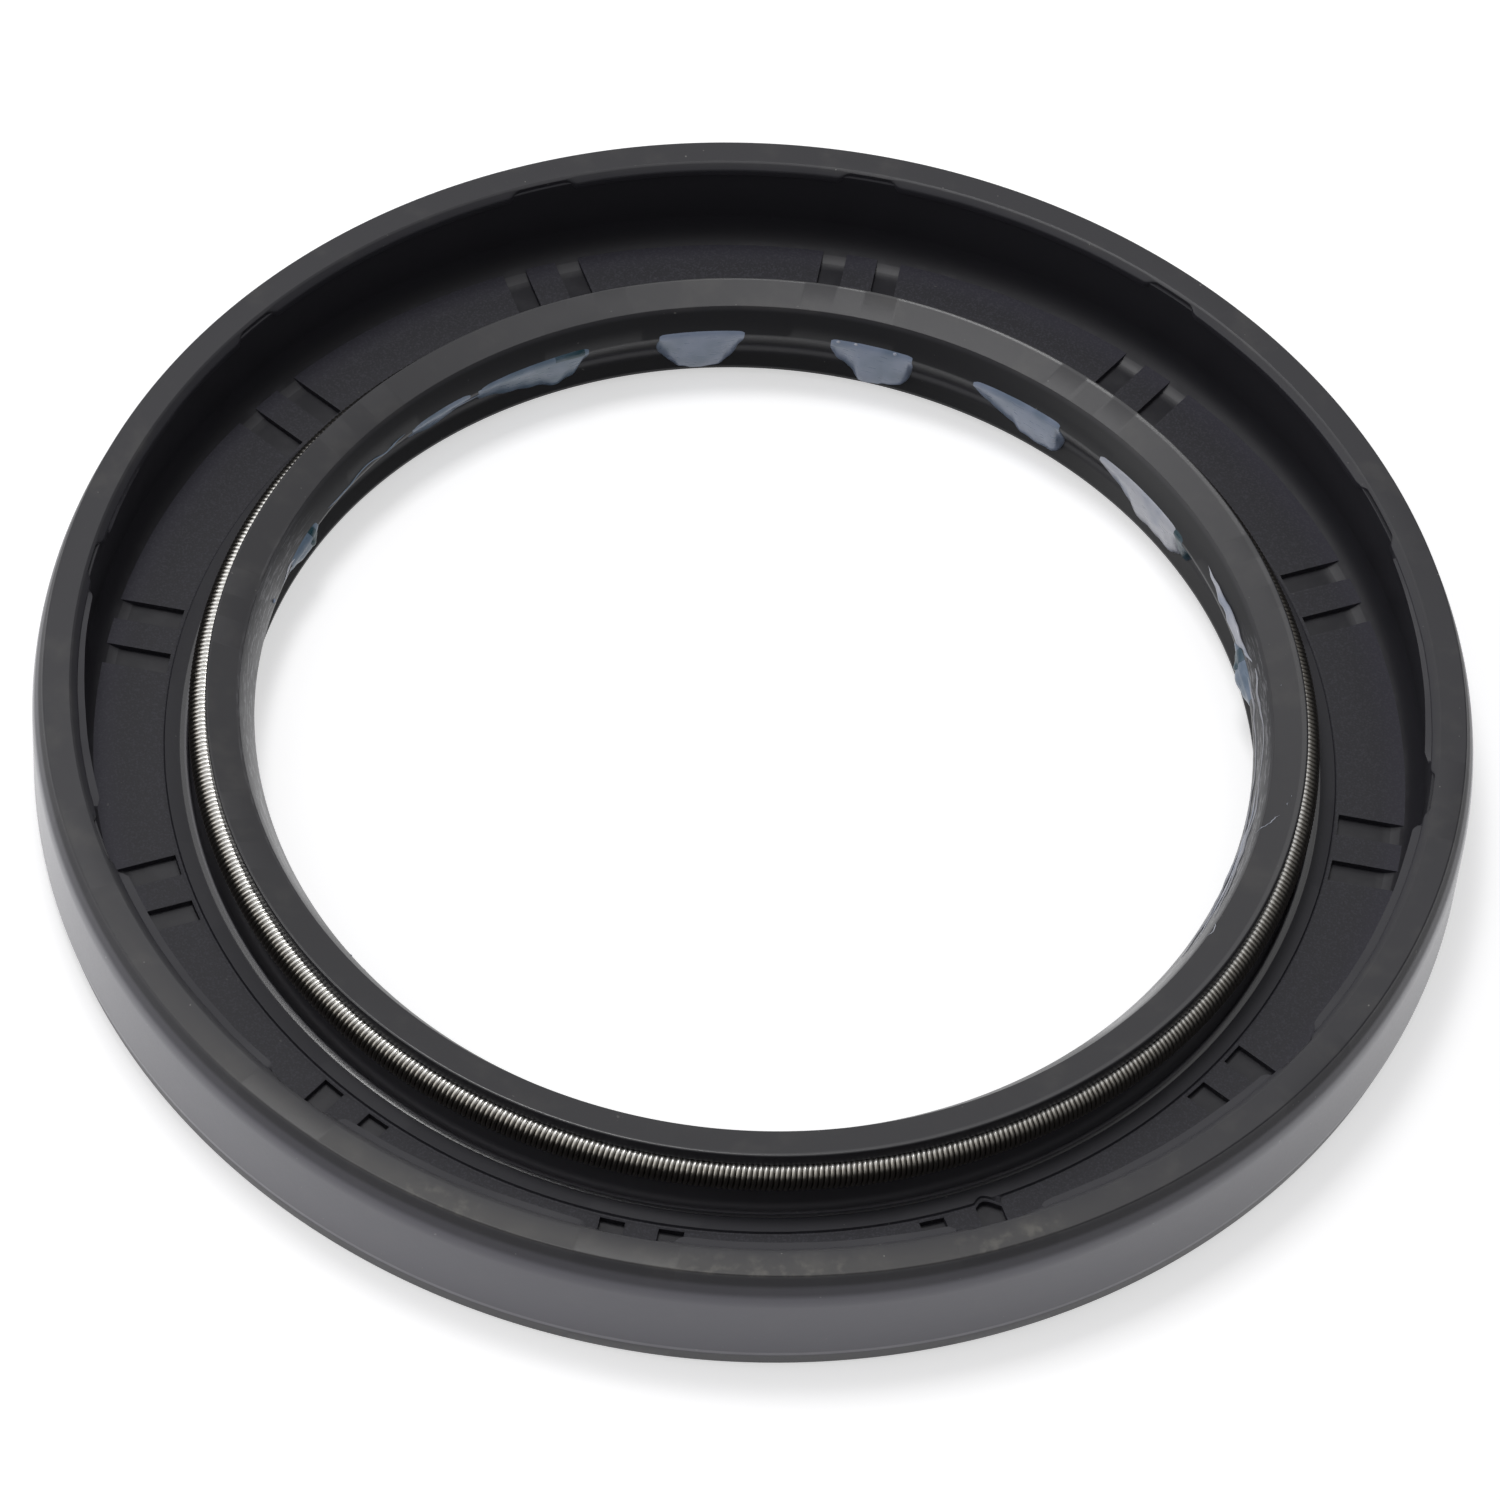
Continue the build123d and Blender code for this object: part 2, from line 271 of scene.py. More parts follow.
class Section:
    """The seal's section in millimetres, worked out from the frame's boxes and the sizes."""

    def __init__(self, sizes):
        lengths = [name for name in SectionSizes.__annotations__ if not name.endswith("angle")]
        self.mm = mm = {name: getattr(sizes, name) / MM for name in lengths}
        rubber_low, rubber_high = corners_of("rubber_body")
        case_low, case_high = corners_of("steel_case")
        spring_low, spring_high = corners_of("garter_spring")
        self.outer = (rubber_high[0] - rubber_low[0]) / 2
        self.top = rubber_high[2]
        self.case_outer = (case_high[0] - case_low[0]) / 2
        self.case_inner = self.case_outer - mm["sheet"]
        self.case_top = case_high[2]
        self.flange_bottom = case_low[2]
        self.flange_top = self.flange_bottom + mm["sheet"]
        self.floor = self.flange_top + mm["floor_cover"]
        self.bend = mm["bend"]
        self.bend_start = self.case_inner - self.bend
        self.floor_end = self.bend_start + leg(self.bend, self.bend - mm["floor_cover"])
        self.coil = (spring_high[2] - spring_low[2]) / 2
        self.spring_radius = (spring_high[0] - spring_low[0]) / 2 - self.coil
        self.spring_height = (spring_high[2] + spring_low[2]) / 2
        self.seal = self.spring_radius - (mm["head_width"] + COIL_OFFSET)
        self.well_inner = self.seal + mm["well_offset"]
        self.well_outer = self.well_inner + mm["well_width"]
        self.ring_inner = self.well_outer + mm["ring_draft"]
        self.ring_outer = self.ring_inner + mm["ring_width"]
        self.bead_inner = self.ring_inner - mm["ring_overhang"]
        self.bead_outer = self.bead_inner + mm["ring_bead"]
        self.flange_bore = self.ring_inner + mm["edge_cover"]
        self.back_foot = self.outer - mm["back_chamfer"] * math.tan(sizes.back_chamfer_angle)
        self.rim_outer = self.outer - mm["lead_in"] * math.tan(sizes.lead_in_angle)
        self.rim_inner = self.case_inner + mm["strip_land"]
        self.strip_face = self.case_inner - mm["strip_thickness"]
        self.strip_foot = self.top - mm["strip_depth"]
        self.strip_shoulder = self.top - mm["strip_shoulder"]
        self.gap_radius = self.case_inner + mm["gap_depth"]
        self.land_top = mm["edge_height"] + mm["edge_land"] / 2
        self.land_bottom = mm["edge_height"] - mm["edge_land"] / 2
        self.head_inner_height = mm["head_height"] - mm["head_slope"]
        oil_rise = self.head_inner_height - self.land_top
        self.head_inner = self.seal + oil_rise * math.tan(sizes.oil_angle)
        self.head_outer = self.seal + mm["head_width"] + mm["head_lap"]
        self.groove = self.coil + mm["groove_clearance"]
        self.groove_lip = self.spring_radius - mm["groove_lip_inset"]
        self.oil_angle, self.air_angle = sizes.oil_angle, sizes.air_angle
        self.lean_angle, self.fin_angle = sizes.lean_angle, sizes.fin_angle
        self.pocket_inner = mm["pocket_bar"] / 2
        self.pocket_outer = self.pocket_inner + mm["pocket_width"]

    def air_side(self, height):
        """Radius of the main lip's air side at a height."""
        return self.seal + (self.land_bottom - height) * math.tan(self.air_angle)

    def groove_rise(self, radius):
        """Height of the groove's wall from the coil's centre line at a radius."""
        return leg(self.groove, self.spring_radius - radius)

    def bend_height(self, radius):
        """Height of the case's inside surface, flange or bend, at a radius."""
        if radius <= self.bend_start:
            return self.flange_top
        return self.flange_top + self.bend - leg(self.bend, radius - self.bend_start)

    def leaned(self, vertices):
        """Vertices with the soft lip leaned over, more the higher they are above its waist."""
        waist, head = self.mm["waist_height"], self.mm["head_height"]
        rise = np.clip((vertices[..., 2] - waist) / (head - waist), 0, 1)
        soft = np.hypot(vertices[..., 0], vertices[..., 1]) < self.ring_outer
        shift = self.mm["lean"] * rise * soft
        moved = vertices.copy()
        moved[..., 0] += shift * math.cos(self.lean_angle)
        moved[..., 1] += shift * math.sin(self.lean_angle)
        return moved


def rounded_outline(corners):
    """Points of a closed outline and the index of each named corner's first point.

    A corner is (name, radius, height), with (rounding, steps) after them where it is rounded."""
    points, marks = [], {}
    places = [np.array(corner[1:3]) for corner in corners]
    for index, (name, _, _, *rounded) in enumerate(corners):
        rounding, steps = rounded or (0, 0)
        here = places[index]
        marks[name] = len(points)
        if not rounding:
            points.append(here)
            continue
        back = places[index - 1] - here
        ahead = places[(index + 1) % len(places)] - here
        back, ahead = back / np.linalg.norm(back), ahead / np.linalg.norm(ahead)
        half = math.acos(max(-1.0, min(1.0, float(back @ ahead)))) / 2
        middle = back + ahead
        centre = here + middle / np.linalg.norm(middle) * rounding / math.sin(half)
        reach = rounding / math.tan(half)
        first, last = here + back * reach - centre, here + ahead * reach - centre
        start = math.atan2(first[1], first[0])
        sweep = (math.atan2(last[1], last[0]) - start + math.pi) % (2 * math.pi) - math.pi
        for step in range(steps + 1):
            angle = start + sweep * step / steps
            points.append(centre + rounding * np.array((math.cos(angle), math.sin(angle))))
    return np.array(points), marks


POCKET_ROWS = 5  # rows of the mesh along a pocket, from the ring to the bend
BEND_ROWS = (0, 0.35, 0.62, 0.84)  # places of the last of them, as parts of the bend's run
GROOVE_STEPS = 16  # rows of the mesh round the spring's groove
RIM_STEP = 0.08  # mm either side of the middle of the step in the rim


def rubber_outline(section):
    """Closed outline of the rubber, with the case's space cut out of it."""
    s, mm = section, section.mm
    groove_width = mm["parting_groove"]
    bend_run = s.floor_end - s.bend_start
    along = [s.ring_outer + groove_width] + [s.bend_start + bend_run * part for part in BEND_ROWS]
    groove_start = math.atan2(-s.groove_rise(s.groove_lip), s.groove_lip - s.spring_radius)
    groove_end = math.atan2(s.groove_rise(s.head_outer), s.head_outer - s.spring_radius)
    groove_sweep = groove_end - groove_start - 2 * math.pi
    groove_arc = []
    for step in range(1, GROOVE_STEPS + 1):
        angle = groove_start + groove_sweep * step / GROOVE_STEPS
        groove_arc.append((f"groove_{step}", s.spring_radius + s.groove * math.cos(angle),
                           s.spring_height + s.groove * math.sin(angle)))
    waist_radius = s.air_side(mm["waist_height"]) + mm["waist"]
    dust_tip = s.seal + mm["dust_tip_offset"]
    corners = [
        ("back_bore", s.seal + mm["back_bore_offset"], 0),
        ("back_edge", s.back_foot, 0, mm["back_edge"], 4),
        ("side_foot", s.outer, mm["back_chamfer"], 0.4, 2),
        ("lead_in_foot", s.outer, s.top - mm["lead_in"], mm["lead_in_blend"], 6),
        ("rim_outer", s.rim_outer, s.top, mm["rim_edge"], 3),
        ("rim_inner", s.rim_inner + RIM_STEP, s.top, 0.05, 2),
        ("strip_top", s.rim_inner - RIM_STEP, s.top - mm["strip_step"], 0.12, 2),
        ("strip_shoulder", s.strip_face + 0.06, s.strip_shoulder, 0.2, 4),
        ("strip_foot", s.strip_face, s.strip_foot, 0.07, 3),
        ("wall_foot", s.case_inner, s.strip_foot),
        ("case_rim_inner", s.case_inner, s.case_top),
        ("case_rim_outer", s.case_outer, s.case_top),
        ("case_bend", s.case_outer, s.flange_bottom, s.bend + mm["sheet"], 5),
        ("flange_under", s.flange_bore, s.flange_bottom),
        ("flange_over", s.flange_bore, s.flange_top),
        *((f"under_{row}", radius, s.bend_height(radius)) for row, radius in enumerate(along)),
        ("floor_end", s.floor_end, s.floor),
        *((f"over_{row}", along[row], s.floor) for row in reversed(range(POCKET_ROWS))),
        ("parting_1", s.ring_outer + groove_width * 0.45, s.floor - mm["parting_depth"], 0.1, 2),
        ("parting_2", s.ring_outer + groove_width * 0.1, s.floor - mm["parting_depth"] * 0.5,
         0.05, 2),
        ("ring_outer", s.ring_outer - 0.03, s.floor + mm["ring_rise"], 0.06, 2),
        ("ring_bead", s.bead_outer, s.floor + mm["ring_rise"], 0.2, 3),
        ("ring_inner", s.bead_inner, s.floor + mm["ring_bead_rise"], mm["ring_edge"], 6),
        ("well_outer", s.well_outer, mm["well_floor"], mm["well_corner"], 5),
        ("well_inner", s.well_inner, mm["well_floor"], mm["well_corner"], 5),
        ("waist", waist_radius, mm["waist_height"], mm["waist_round"], 6),
        ("groove_lip", s.groove_lip, s.spring_height - s.groove_rise(s.groove_lip)),
        *groove_arc,
        ("head_outer", s.head_outer, mm["head_height"], mm["head_shoulder"], 4),
        ("head_inner", s.head_inner, s.head_inner_height, mm["head_edge"], 3),
        ("oil_side", s.seal + (s.head_inner - s.seal) * 0.5,
         (s.head_inner_height + s.land_top) / 2),
        ("land_top", s.seal, s.land_top),
        ("land_bottom", s.seal, s.land_bottom),
        ("dust_root", s.air_side(mm["dust_root_height"]), mm["dust_root_height"],
         mm["dust_root"], 6),
        ("dust_tip_top", dust_tip, mm["dust_tip_height"], mm["dust_round"], 2),
        ("dust_tip_under", dust_tip, mm["dust_tip_height"] - mm["dust_tip"], mm["dust_round"], 2),
        ("dust_foot", s.seal + mm["dust_foot_offset"], mm["dust_foot_height"]),
    ]
    return rounded_outline(corners)


# ---------------------------------------------------------------- mould supports

SUPPORTS = 12
STEP = 2 * math.pi / SUPPORTS
PARALLEL_REACH = 3.5  # mm either side of a support where the mesh columns run parallel
SEAM_REACH = 11.36  # mm, halfway to the next support
# Flash gap at each support, going round from +X: width and shift along the rim, in mm
GAP_WIDTHS = (3.37, 4.98, 3.78, 3.7, 4.35, 3.33, 3.04, 3.61, 3.86, 3.86, 3.86, 2.91)
GAP_SHIFTS = (0.64, 0.88, 0.56, 0.15, -0.34, -0.18, -0.39, -0.51, 0.1, -0.1, 0.2, 0.6)
# Waves round the flash strip: size in mm, or as a share of the fin, then what wave() takes
FOOT_WAVES = ((0.035, 7, 6, 9), (0.018, 11, 5, 60))
FACE_WAVE = (0.02, 5, 5, 14)
FIN_WAVE = (0.08, 3, 5, 8)
FIN_SLOPE, FIN_LIFT = 1.6, 0.3  # how the strip's foot rises on the fin, up to so many mm
GAP_EDGE = 0.1  # mm, the slope at the top of a gap
TORN_SUPPORT, TORN_SIDE = 10, 1  # the pocket whose inner edge is torn
TORN_DEPTH = 0.42  # mm
TORN_SLANT = 0.12  # mm less at the pocket's outer side


def column_offsets(section):
    """Places of the mesh columns across one support, in mm along the rim, from seam to seam."""
    inner, outer = section.pocket_inner, section.pocket_outer
    # Each stretch: from, to, number of columns
    stretches = ((0, inner, 5), (inner, outer, 8), (outer, PARALLEL_REACH, 3),
                 (PARALLEL_REACH, SEAM_REACH, 13))
    side = np.concatenate([np.linspace(low, high, count + 1)[1:]
                           for low, high, count in stretches])
    return np.concatenate([-side[::-1][1:], [0.0], side])


def column_angles(radius, offsets):
    """Angle of each column from its support's middle, at a radius."""
    reach = math.asin(PARALLEL_REACH / radius)
    size = np.abs(offsets)
    inside = np.arcsin(np.clip(size, 0, PARALLEL_REACH) / radius)
    outside = reach + (STEP / 2 - reach) * (size - PARALLEL_REACH) / (SEAM_REACH - PARALLEL_REACH)
    return np.sign(offsets) * np.where(size <= PARALLEL_REACH, inside, outside)


def wave(angles, seed, terms, slowest):
    """A smooth closed wave round the seal, from -1 to 1 or so, with slowest or more crests."""
    rng = random.Random(seed)
    total = np.zeros_like(angles)
    for term in range(terms):
        count = slowest + rng.randrange(slowest) + term * slowest
        total += np.sin(count * angles + rng.uniform(0, 2 * math.pi)) / (1 + term * 0.5)
    return total / math.sqrt(terms)


def smooth_step(value):
    """0 up to 0 and 1 from 1, smooth between."""
    value = np.clip(value, 0, 1)
    return value * value * (3 - 2 * value)


def waves(angles, *parts):
    """The sum of waves, each given as its size and then its seed, terms and slowest."""
    return sum(size * wave(angles, *shape) for size, *shape in parts)


def strip_cover(section, angles, margin=0):
    """1 where the flash strip is whole and 0 in the gaps, at angles round the seal."""
    flare = section.mm["gap_flare"]
    cover = np.ones_like(angles)
    for support in range(SUPPORTS):
        away = (angles - support * STEP + math.pi) % (2 * math.pi) - math.pi
        away = np.abs(away * section.case_inner - GAP_SHIFTS[support])
        past = away - GAP_WIDTHS[support] / 2 - margin
        cover = np.minimum(cover, smooth_step((past + flare / 2) / flare))
    return cover


# ---------------------------------------------------------------- meshes

CASE_COLUMNS = 576
COIL_STEPS = 14  # places along each turn of the wire
WIRE_SIDES = 9
COIL_START = math.radians(75)  # where on the coil the wire's first end lies


def add_object(name, data):
    """A new object in the scene that shows a mesh, a lamp or a camera."""
    thing = bpy.data.objects.new(name, data)
    bpy.context.scene.collection.objects.link(thing)
    return thing


def new_piece(name, vertices, faces, material, slot=None, node=None, sharp=35.0):
    """A mesh piece in metres, from vertices in mm, that rides on the seal."""
    mesh = bpy.data.meshes.new(name)
    mesh.from_pydata((np.asarray(vertices) * MM).tolist(), [], faces)
    mesh.validate()
    mesh.shade_smooth()
    if sharp:
        mesh.set_sharp_from_angle(angle=math.radians(sharp))
    mesh.materials.append(material)
    piece = add_object(name, mesh)
    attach(piece, BODY)
    if node:
        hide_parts(node)
    return piece


def grid_faces(rows, columns, close_rows, close_columns):
    """Quads of a grid whose vertices run column by column inside each row."""
    faces = []
    for row in range(rows if close_rows else rows - 1):
        ahead = (row + 1) % rows
        for column in range(columns if close_columns else columns - 1):
            beside = (column + 1) % columns
            faces.append((row * columns + column, row * columns + beside,
                          ahead * columns + beside, ahead * columns + column))
    return faces


def tube_faces(rings, sides):
    """Quads of a tube, ring after ring, with a face at each end."""
    last = (rings - 1) * sides
    ends = [tuple(reversed(range(sides))), tuple(range(last, last + sides))]
    return grid_faces(rings, sides, False, True) + ends


def even_shading(piece):
    """Keeps broad faces flat to the light beside small rounded ones."""
    normals = piece.modifiers.new("even shading", "WEIGHTED_NORMAL")
    normals.keep_sharp = True


def ring_vertices(radius, height, angles):
    """Vertices in mm from radii and heights at angles round the axis."""
    places = np.broadcast_arrays(radius * np.cos(angles), radius * np.sin(angles), height)
    return np.stack(places, -1)


def build_rubber(section, material):
    """The moulded body: a revolved outline with real pockets through its floor."""
    outline, marks = rubber_outline(section)
    offsets = column_offsets(section)
    columns = SUPPORTS * len(offsets)
    one = np.array([column_angles(radius, offsets) for radius in outline[:, 0]])
    angles = np.concatenate([support * STEP + one for support in range(SUPPORTS)], axis=1)
    radius, height = (np.repeat(outline[:, [axis]], columns, axis=1) for axis in (0, 1))
    shape_flash_strip(section, marks, angles, radius, height)
    tear_pocket(section, marks, offsets, radius)
    vertices = section.leaned(ring_vertices(radius, height, angles).reshape(-1, 3))
    faces = grid_faces(len(outline), columns, True, True)
    faces = cut_pockets(section, marks, offsets, columns, faces)
    piece = new_piece("rubber_body_moulded", vertices, faces, material, "rubber", "rubber_body")
    even_shading(piece)


def shape_flash_strip(section, marks, angles, radius, height):
    """Lets the strip's foot wander and draws the strip back behind the case wall in the gaps."""
    s = section
    first, last = marks["strip_top"], marks["case_rim_inner"]
    turns = angles[first]
    cover = strip_cover(s, turns)
    # The flash reaches further in round the side of the seal that faces the fin's angle
    fin = s.mm["fin"] * smooth_step((np.cos(turns - s.fin_angle) + 0.6) / 0.9)
    fin = fin * (1 + waves(turns, FIN_WAVE)) * strip_cover(s, turns, s.mm["fin_margin"])
    wander, bulge = waves(turns, *FOOT_WAVES), waves(turns, FACE_WAVE)
    lift = np.minimum(fin * FIN_SLOPE, FIN_LIFT)
    top = height[first, 0]
    for row in range(first, last + 1):
        place = (row - first) / (last - first)
        bare_height = top - (top - s.case_top) * place
        bare_radius = s.gap_radius + GAP_EDGE * max(0, 1 - place * 8)
        whole_radius, whole_height = radius[row].copy(), height[row].copy()
        if marks["strip_foot"] <= row <= marks["wall_foot"]:
            whole_height = whole_height + wander + lift * (row < marks["wall_foot"])
        if marks["strip_shoulder"] <= row < marks["wall_foot"]:
            whole_radius = whole_radius + bulge - fin * (row >= marks["strip_foot"])
        radius[row] = bare_radius + (whole_radius - bare_radius) * cover
        height[row] = bare_height + (whole_height - bare_height) * cover


def tear_pocket(section, marks, offsets, radius):
    """Pulls the inner edge of one pocket into the ring, deepest near its middle."""
    along = (TORN_SIDE * offsets - section.pocket_inner) / section.mm["pocket_width"]
    inside = (along >= 0) & (along <= 1)
    hollow = TORN_DEPTH * np.sin(np.clip(along, 0, 1) * math.pi * 1.25)
    torn = np.where(inside, hollow - TORN_SLANT * along, 0)
    columns = slice(TORN_SUPPORT * len(offsets), (TORN_SUPPORT + 1) * len(offsets))
    radius[marks["under_0"], columns] -= torn
    for row in range(marks["over_0"], marks["ring_bead"]):
        radius[row, columns] -= torn if row < marks["ring_outer"] else np.clip(torn, 0, 1)


def cut_pockets(section, marks, offsets, columns, faces):
    """Takes the floor's rubber out of the pockets and gives each pocket its walls."""
    inner, outer = section.pocket_inner, section.pocket_outer
    over, under = ([marks[f"{side}_{row}"] for row in range(POCKET_ROWS)] + [marks["floor_end"]]
                   for side in ("over", "under"))
    removed, walls = set(), []
    for support in range(SUPPORTS):
        for edges in ((-outer, -inner), (inner, outer)):
            first, last = (support * len(offsets) + int(np.argmin(np.abs(offsets - edge)))
                           for edge in edges)
            for row in range(under[0], over[0]):
                removed.update(row * columns + column for column in range(first, last))
            for column, flip in ((first, False), (last, True)):
                for row in range(POCKET_ROWS):
                    wall = [over[row] * columns + column, over[row + 1] * columns + column,
                            under[row + 1] * columns + column, under[row] * columns + column]
                    if row == POCKET_ROWS - 1:
                        wall = wall[:2] + wall[3:]
                    walls.append(tuple(reversed(wall)) if flip else tuple(wall))
            for column in range(first, last):
                walls.append((over[0] * columns + column, under[0] * columns + column,
                              under[0] * columns + column + 1, over[0] * columns + column + 1))
    return [face for face in faces if face[0] not in removed] + walls


def build_case(section, material):
    """The pressed case as a finely revolved ring."""
    s = section
    outline, _ = rounded_outline([
        ("flange_under", s.flange_bore, s.flange_bottom, 0.05, 1),
        ("bend_outside", s.case_outer, s.flange_bottom, s.bend + s.mm["sheet"], 12),
        ("rim_outside", s.case_outer, s.case_top, 0.04, 1),
        ("rim_inside", s.case_inner, s.case_top, 0.04, 1),
        ("bend_inside", s.case_inner, s.flange_top, s.bend, 16),
        ("flange_over", s.flange_bore, s.flange_top, 0.05, 1),
    ])
    angles = np.arange(CASE_COLUMNS) * 2 * math.pi / CASE_COLUMNS
    vertices = ring_vertices(outline[:, :1], outline[:, 1:], angles).reshape(-1, 3)
    faces = grid_faces(len(outline), CASE_COLUMNS, True, True)
    piece = new_piece("steel_case_pressed", vertices, faces, material, "coated_steel", "steel_case")
    even_shading(piece)


def build_spring(section, settings, material):
    """The garter spring: one wire wound round the ring, its two ends met at the joint."""
    wire = settings.wire / MM / 2
    coil = section.coil - wire
    rings = settings.turns * COIL_STEPS + 1
    share_round = np.arange(rings) / (rings - 1)
    gap = settings.joint_gap / MM / section.spring_radius
    pitch = 2 * math.pi / settings.turns
    around = settings.joint_angle + gap / 2 + (2 * math.pi - gap) * share_round
    phase = COIL_START + np.arange(rings) * 2 * math.pi / COIL_STEPS
    out = np.stack([np.cos(around), np.sin(around), np.zeros(rings)], -1)
    up = np.array((0.0, 0.0, 1.0))
    along = np.stack([-np.sin(around), np.cos(around), np.zeros(rings)], -1)
    spoke = np.cos(phase)[:, None] * out + np.sin(phase)[:, None] * up
    centre = section.spring_radius * out + section.spring_height * up + coil * spoke
    tilt = math.atan2(section.spring_radius * pitch, 2 * math.pi * coil)
    hoop = -np.sin(phase)[:, None] * out + np.cos(phase)[:, None] * up
    side = math.cos(tilt) * along - math.sin(tilt) * hoop
    vertices = np.zeros((rings, WIRE_SIDES, 3))
    for step in range(WIRE_SIDES):
        angle = 2 * math.pi * step / WIRE_SIDES
        vertices[:, step] = centre + wire * (math.cos(angle) * spoke + math.sin(angle) * side)
    new_piece("garter_spring_coil", section.leaned(vertices.reshape(-1, 3)),
              tube_faces(rings, WIRE_SIDES), material, "spring_wire", "garter_spring", sharp=50.0)


# ---------------------------------------------------------------- grease

# Each tone, and the tone that drifts through it
TONES = (("pale", "blue"), ("blue", "pale"), ("white", "pale"), ("grey", "white"), ("teal", "blue"))
# Dabs between the lips. Each has a name and a tone, and then for its stops the degrees round the
# seal, how far it reaches from the sealing edge towards the dust lip, and how far it swells in mm.
# A dye lies on the dab that it is named after.
DABS = (
    ("dab_back_left", "pale",
     (101.5, 101.7, 102.1, 102.8, 104, 106.6, 108.6, 109.8, 110.8, 111.4, 111.7),
     (0, 0.66, 0.74, 0.85, 0.96, 1.02, 0.96, 0.85, 0.75, 0.68, 0),
     (0, 0.12, 0.14, 0.16, 0.18, 0.2, 0.18, 0.16, 0.14, 0.12, 0)),
    ("dab_back_right", "pale",
     (81.2, 81.35, 81.7, 82.4, 84.5, 85.6, 86.8, 87.6, 88.6, 89.8, 90.8, 91.2),
     (0, 0.7, 0.82, 0.92, 0.97, 1.03, 1.13, 0.99, 0.85, 0.75, 0.67, 0),
     (0, 0.12, 0.14, 0.16, 0.18, 0.18, 0.18, 0.18, 0.16, 0.14, 0.12, 0)),
    ("dab_right_upper", "pale",
     (61.3, 61.5, 62, 62.8, 65, 67, 68.5, 70.5, 72.5, 73.3),
     (0, 0.74, 0.86, 0.92, 0.94, 0.91, 0.83, 0.75, 0.66, 0),
     (0, 0.14, 0.18, 0.2, 0.2, 0.2, 0.16, 0.14, 0.1, 0)),
    ("dab_right_lower", "white",
     (41, 41.2, 41.9, 43, 46, 49, 50.8, 52.8, 54.4, 54.9),
     (0, 0.72, 0.84, 0.9, 0.92, 0.89, 0.81, 0.72, 0.64, 0),
     (0, 0.14, 0.2, 0.22, 0.24, 0.22, 0.2, 0.14, 0.1, 0)),
    ("smear_left", "blue",
     (120.4, 120.6, 121.4, 123.5, 126.5, 130, 133, 135),
     (0, 0.72, 0.85, 0.89, 0.83, 0.76, 0.68, 0),
     (0, 0.14, 0.16, 0.16, 0.14, 0.12, 0.08, 0)),
    ("smear_far", "blue",
     (136.2, 137, 139.8, 143, 145),
     (0, 0.66, 0.74, 0.68, 0),
     (0, 0.06, 0.08, 0.06, 0)),
    ("blob_left", "blue",
     (163, 163.7, 165.2, 167, 168.8, 170.6),
     (0, 0.4, 0.5, 0.44, 0.3, 0),
     (0, 0.45, 0.75, 0.65, 0.3, 0)),
    ("blob_right", "blue",
     (15, 15.8, 17.5, 19.5, 21.2, 22.6, 23.8),
     (0, 0.4, 0.5, 0.5, 0.4, 0.3, 0),
     (0, 0.3, 0.7, 0.95, 0.6, 0.25, 0)),
    ("dye_left", "teal",
     (120.5, 121, 122.4, 124.4, 125.6),
     (0, 0.64, 0.68, 0.6, 0),
     (0, 0.2, 0.22, 0.18, 0)),
    ("dye_blob_left", "teal",
     (163.2, 163.9, 165, 166),
     (0, 0.3, 0.34, 0),
     (0, 0.52, 0.8, 0)),
    ("dye_blob_right", "teal",
     (19.8, 20.7, 22, 23.2),
     (0, 0.3, 0.3, 0),
     (0, 0.78, 0.45, 0)),
    ("dye_right", "teal",
     (39.4, 39.9, 40.8, 41.6),
     (0, 0.7, 0.84, 0),
     (0, 0.14, 0.18, 0)),
)
# Threads of grease. Each has a name and a tone, and then for its stops the degrees, the place
# across the lip (0 the sealing edge, 1 the head's inner edge, 2 its outer edge) and half its width
THREADS = (
    ("thread_patch", "white",
     (34.5, 32.5, 29, 26, 23.5, 21.5, 19.6),
     (0.35, 0.28, 0.22, 0.2, 0.22, 0.32, 0.46),
     (0.02, 0.12, 0.28, 0.34, 0.26, 0.14, 0.04)),
    ("thread_edge", "grey",
     (19, 15, 11, 5, 0, -6, -11, -16, -20, -24),
     (0.14, 0.2, 0.13, 0.16, 0.12, 0.16, 0.14, 0.2, 0.2, 0.3),
     (0.04, 0.08, 0.05, 0.04, 0.06, 0.09, 0.12, 0.13, 0.1, 0.03)),
    ("thread_middle", "grey",
     (18.6, 15, 9, 4, -1, -6, -10, -14, -18),
     (0.5, 0.44, 0.52, 0.42, 0.46, 0.38, 0.4, 0.46, 0.6),
     (0.06, 0.1, 0.05, 0.04, 0.07, 0.12, 0.13, 0.08, 0.03)),
    ("thread_bright", "white",
     (2, -2, -6, -10, -14, -18, -22),
     (0.3, 0.32, 0.26, 0.28, 0.3, 0.36, 0.44),
     (0.02, 0.06, 0.09, 0.07, 0.09, 0.05, 0.02)),
    ("thread_hook", "white",
     (-5.4, -5, -4.6, -4, -3.4, -3),
     (0.75, 1, 1.12, 1.24, 1.32, 1.42),
     (0.03, 0.05, 0.045, 0.045, 0.035, 0.02)),
    ("thread_whisker", "white",
     (-19, -19.6, -20.4, -21.2),
     (0.9, 1.02, 1.06, 1),
     (0.02, 0.045, 0.035, 0.02)),
    ("thread_left_edge", "white",
     (168.6, 170.6, 173.2),
     (0.08, 0.1, 0.05),
     (0.03, 0.08, 0.03)),
    ("thread_smear_far", "blue",
     (146, 149, 153, 157, 160.5),
     (0.1, 0.04, 0.12, 0.04, 0.08),
     (0.02, 0.07, 0.04, 0.06, 0.02)),
    ("thread_smear_ridge", "pale",
     (124, 128, 132, 136, 140, 144),
     (-0.3, -0.34, -0.3, -0.34, -0.3, -0.3),
     (0.05, 0.12, 0.1, 0.12, 0.07, 0.03)),
)
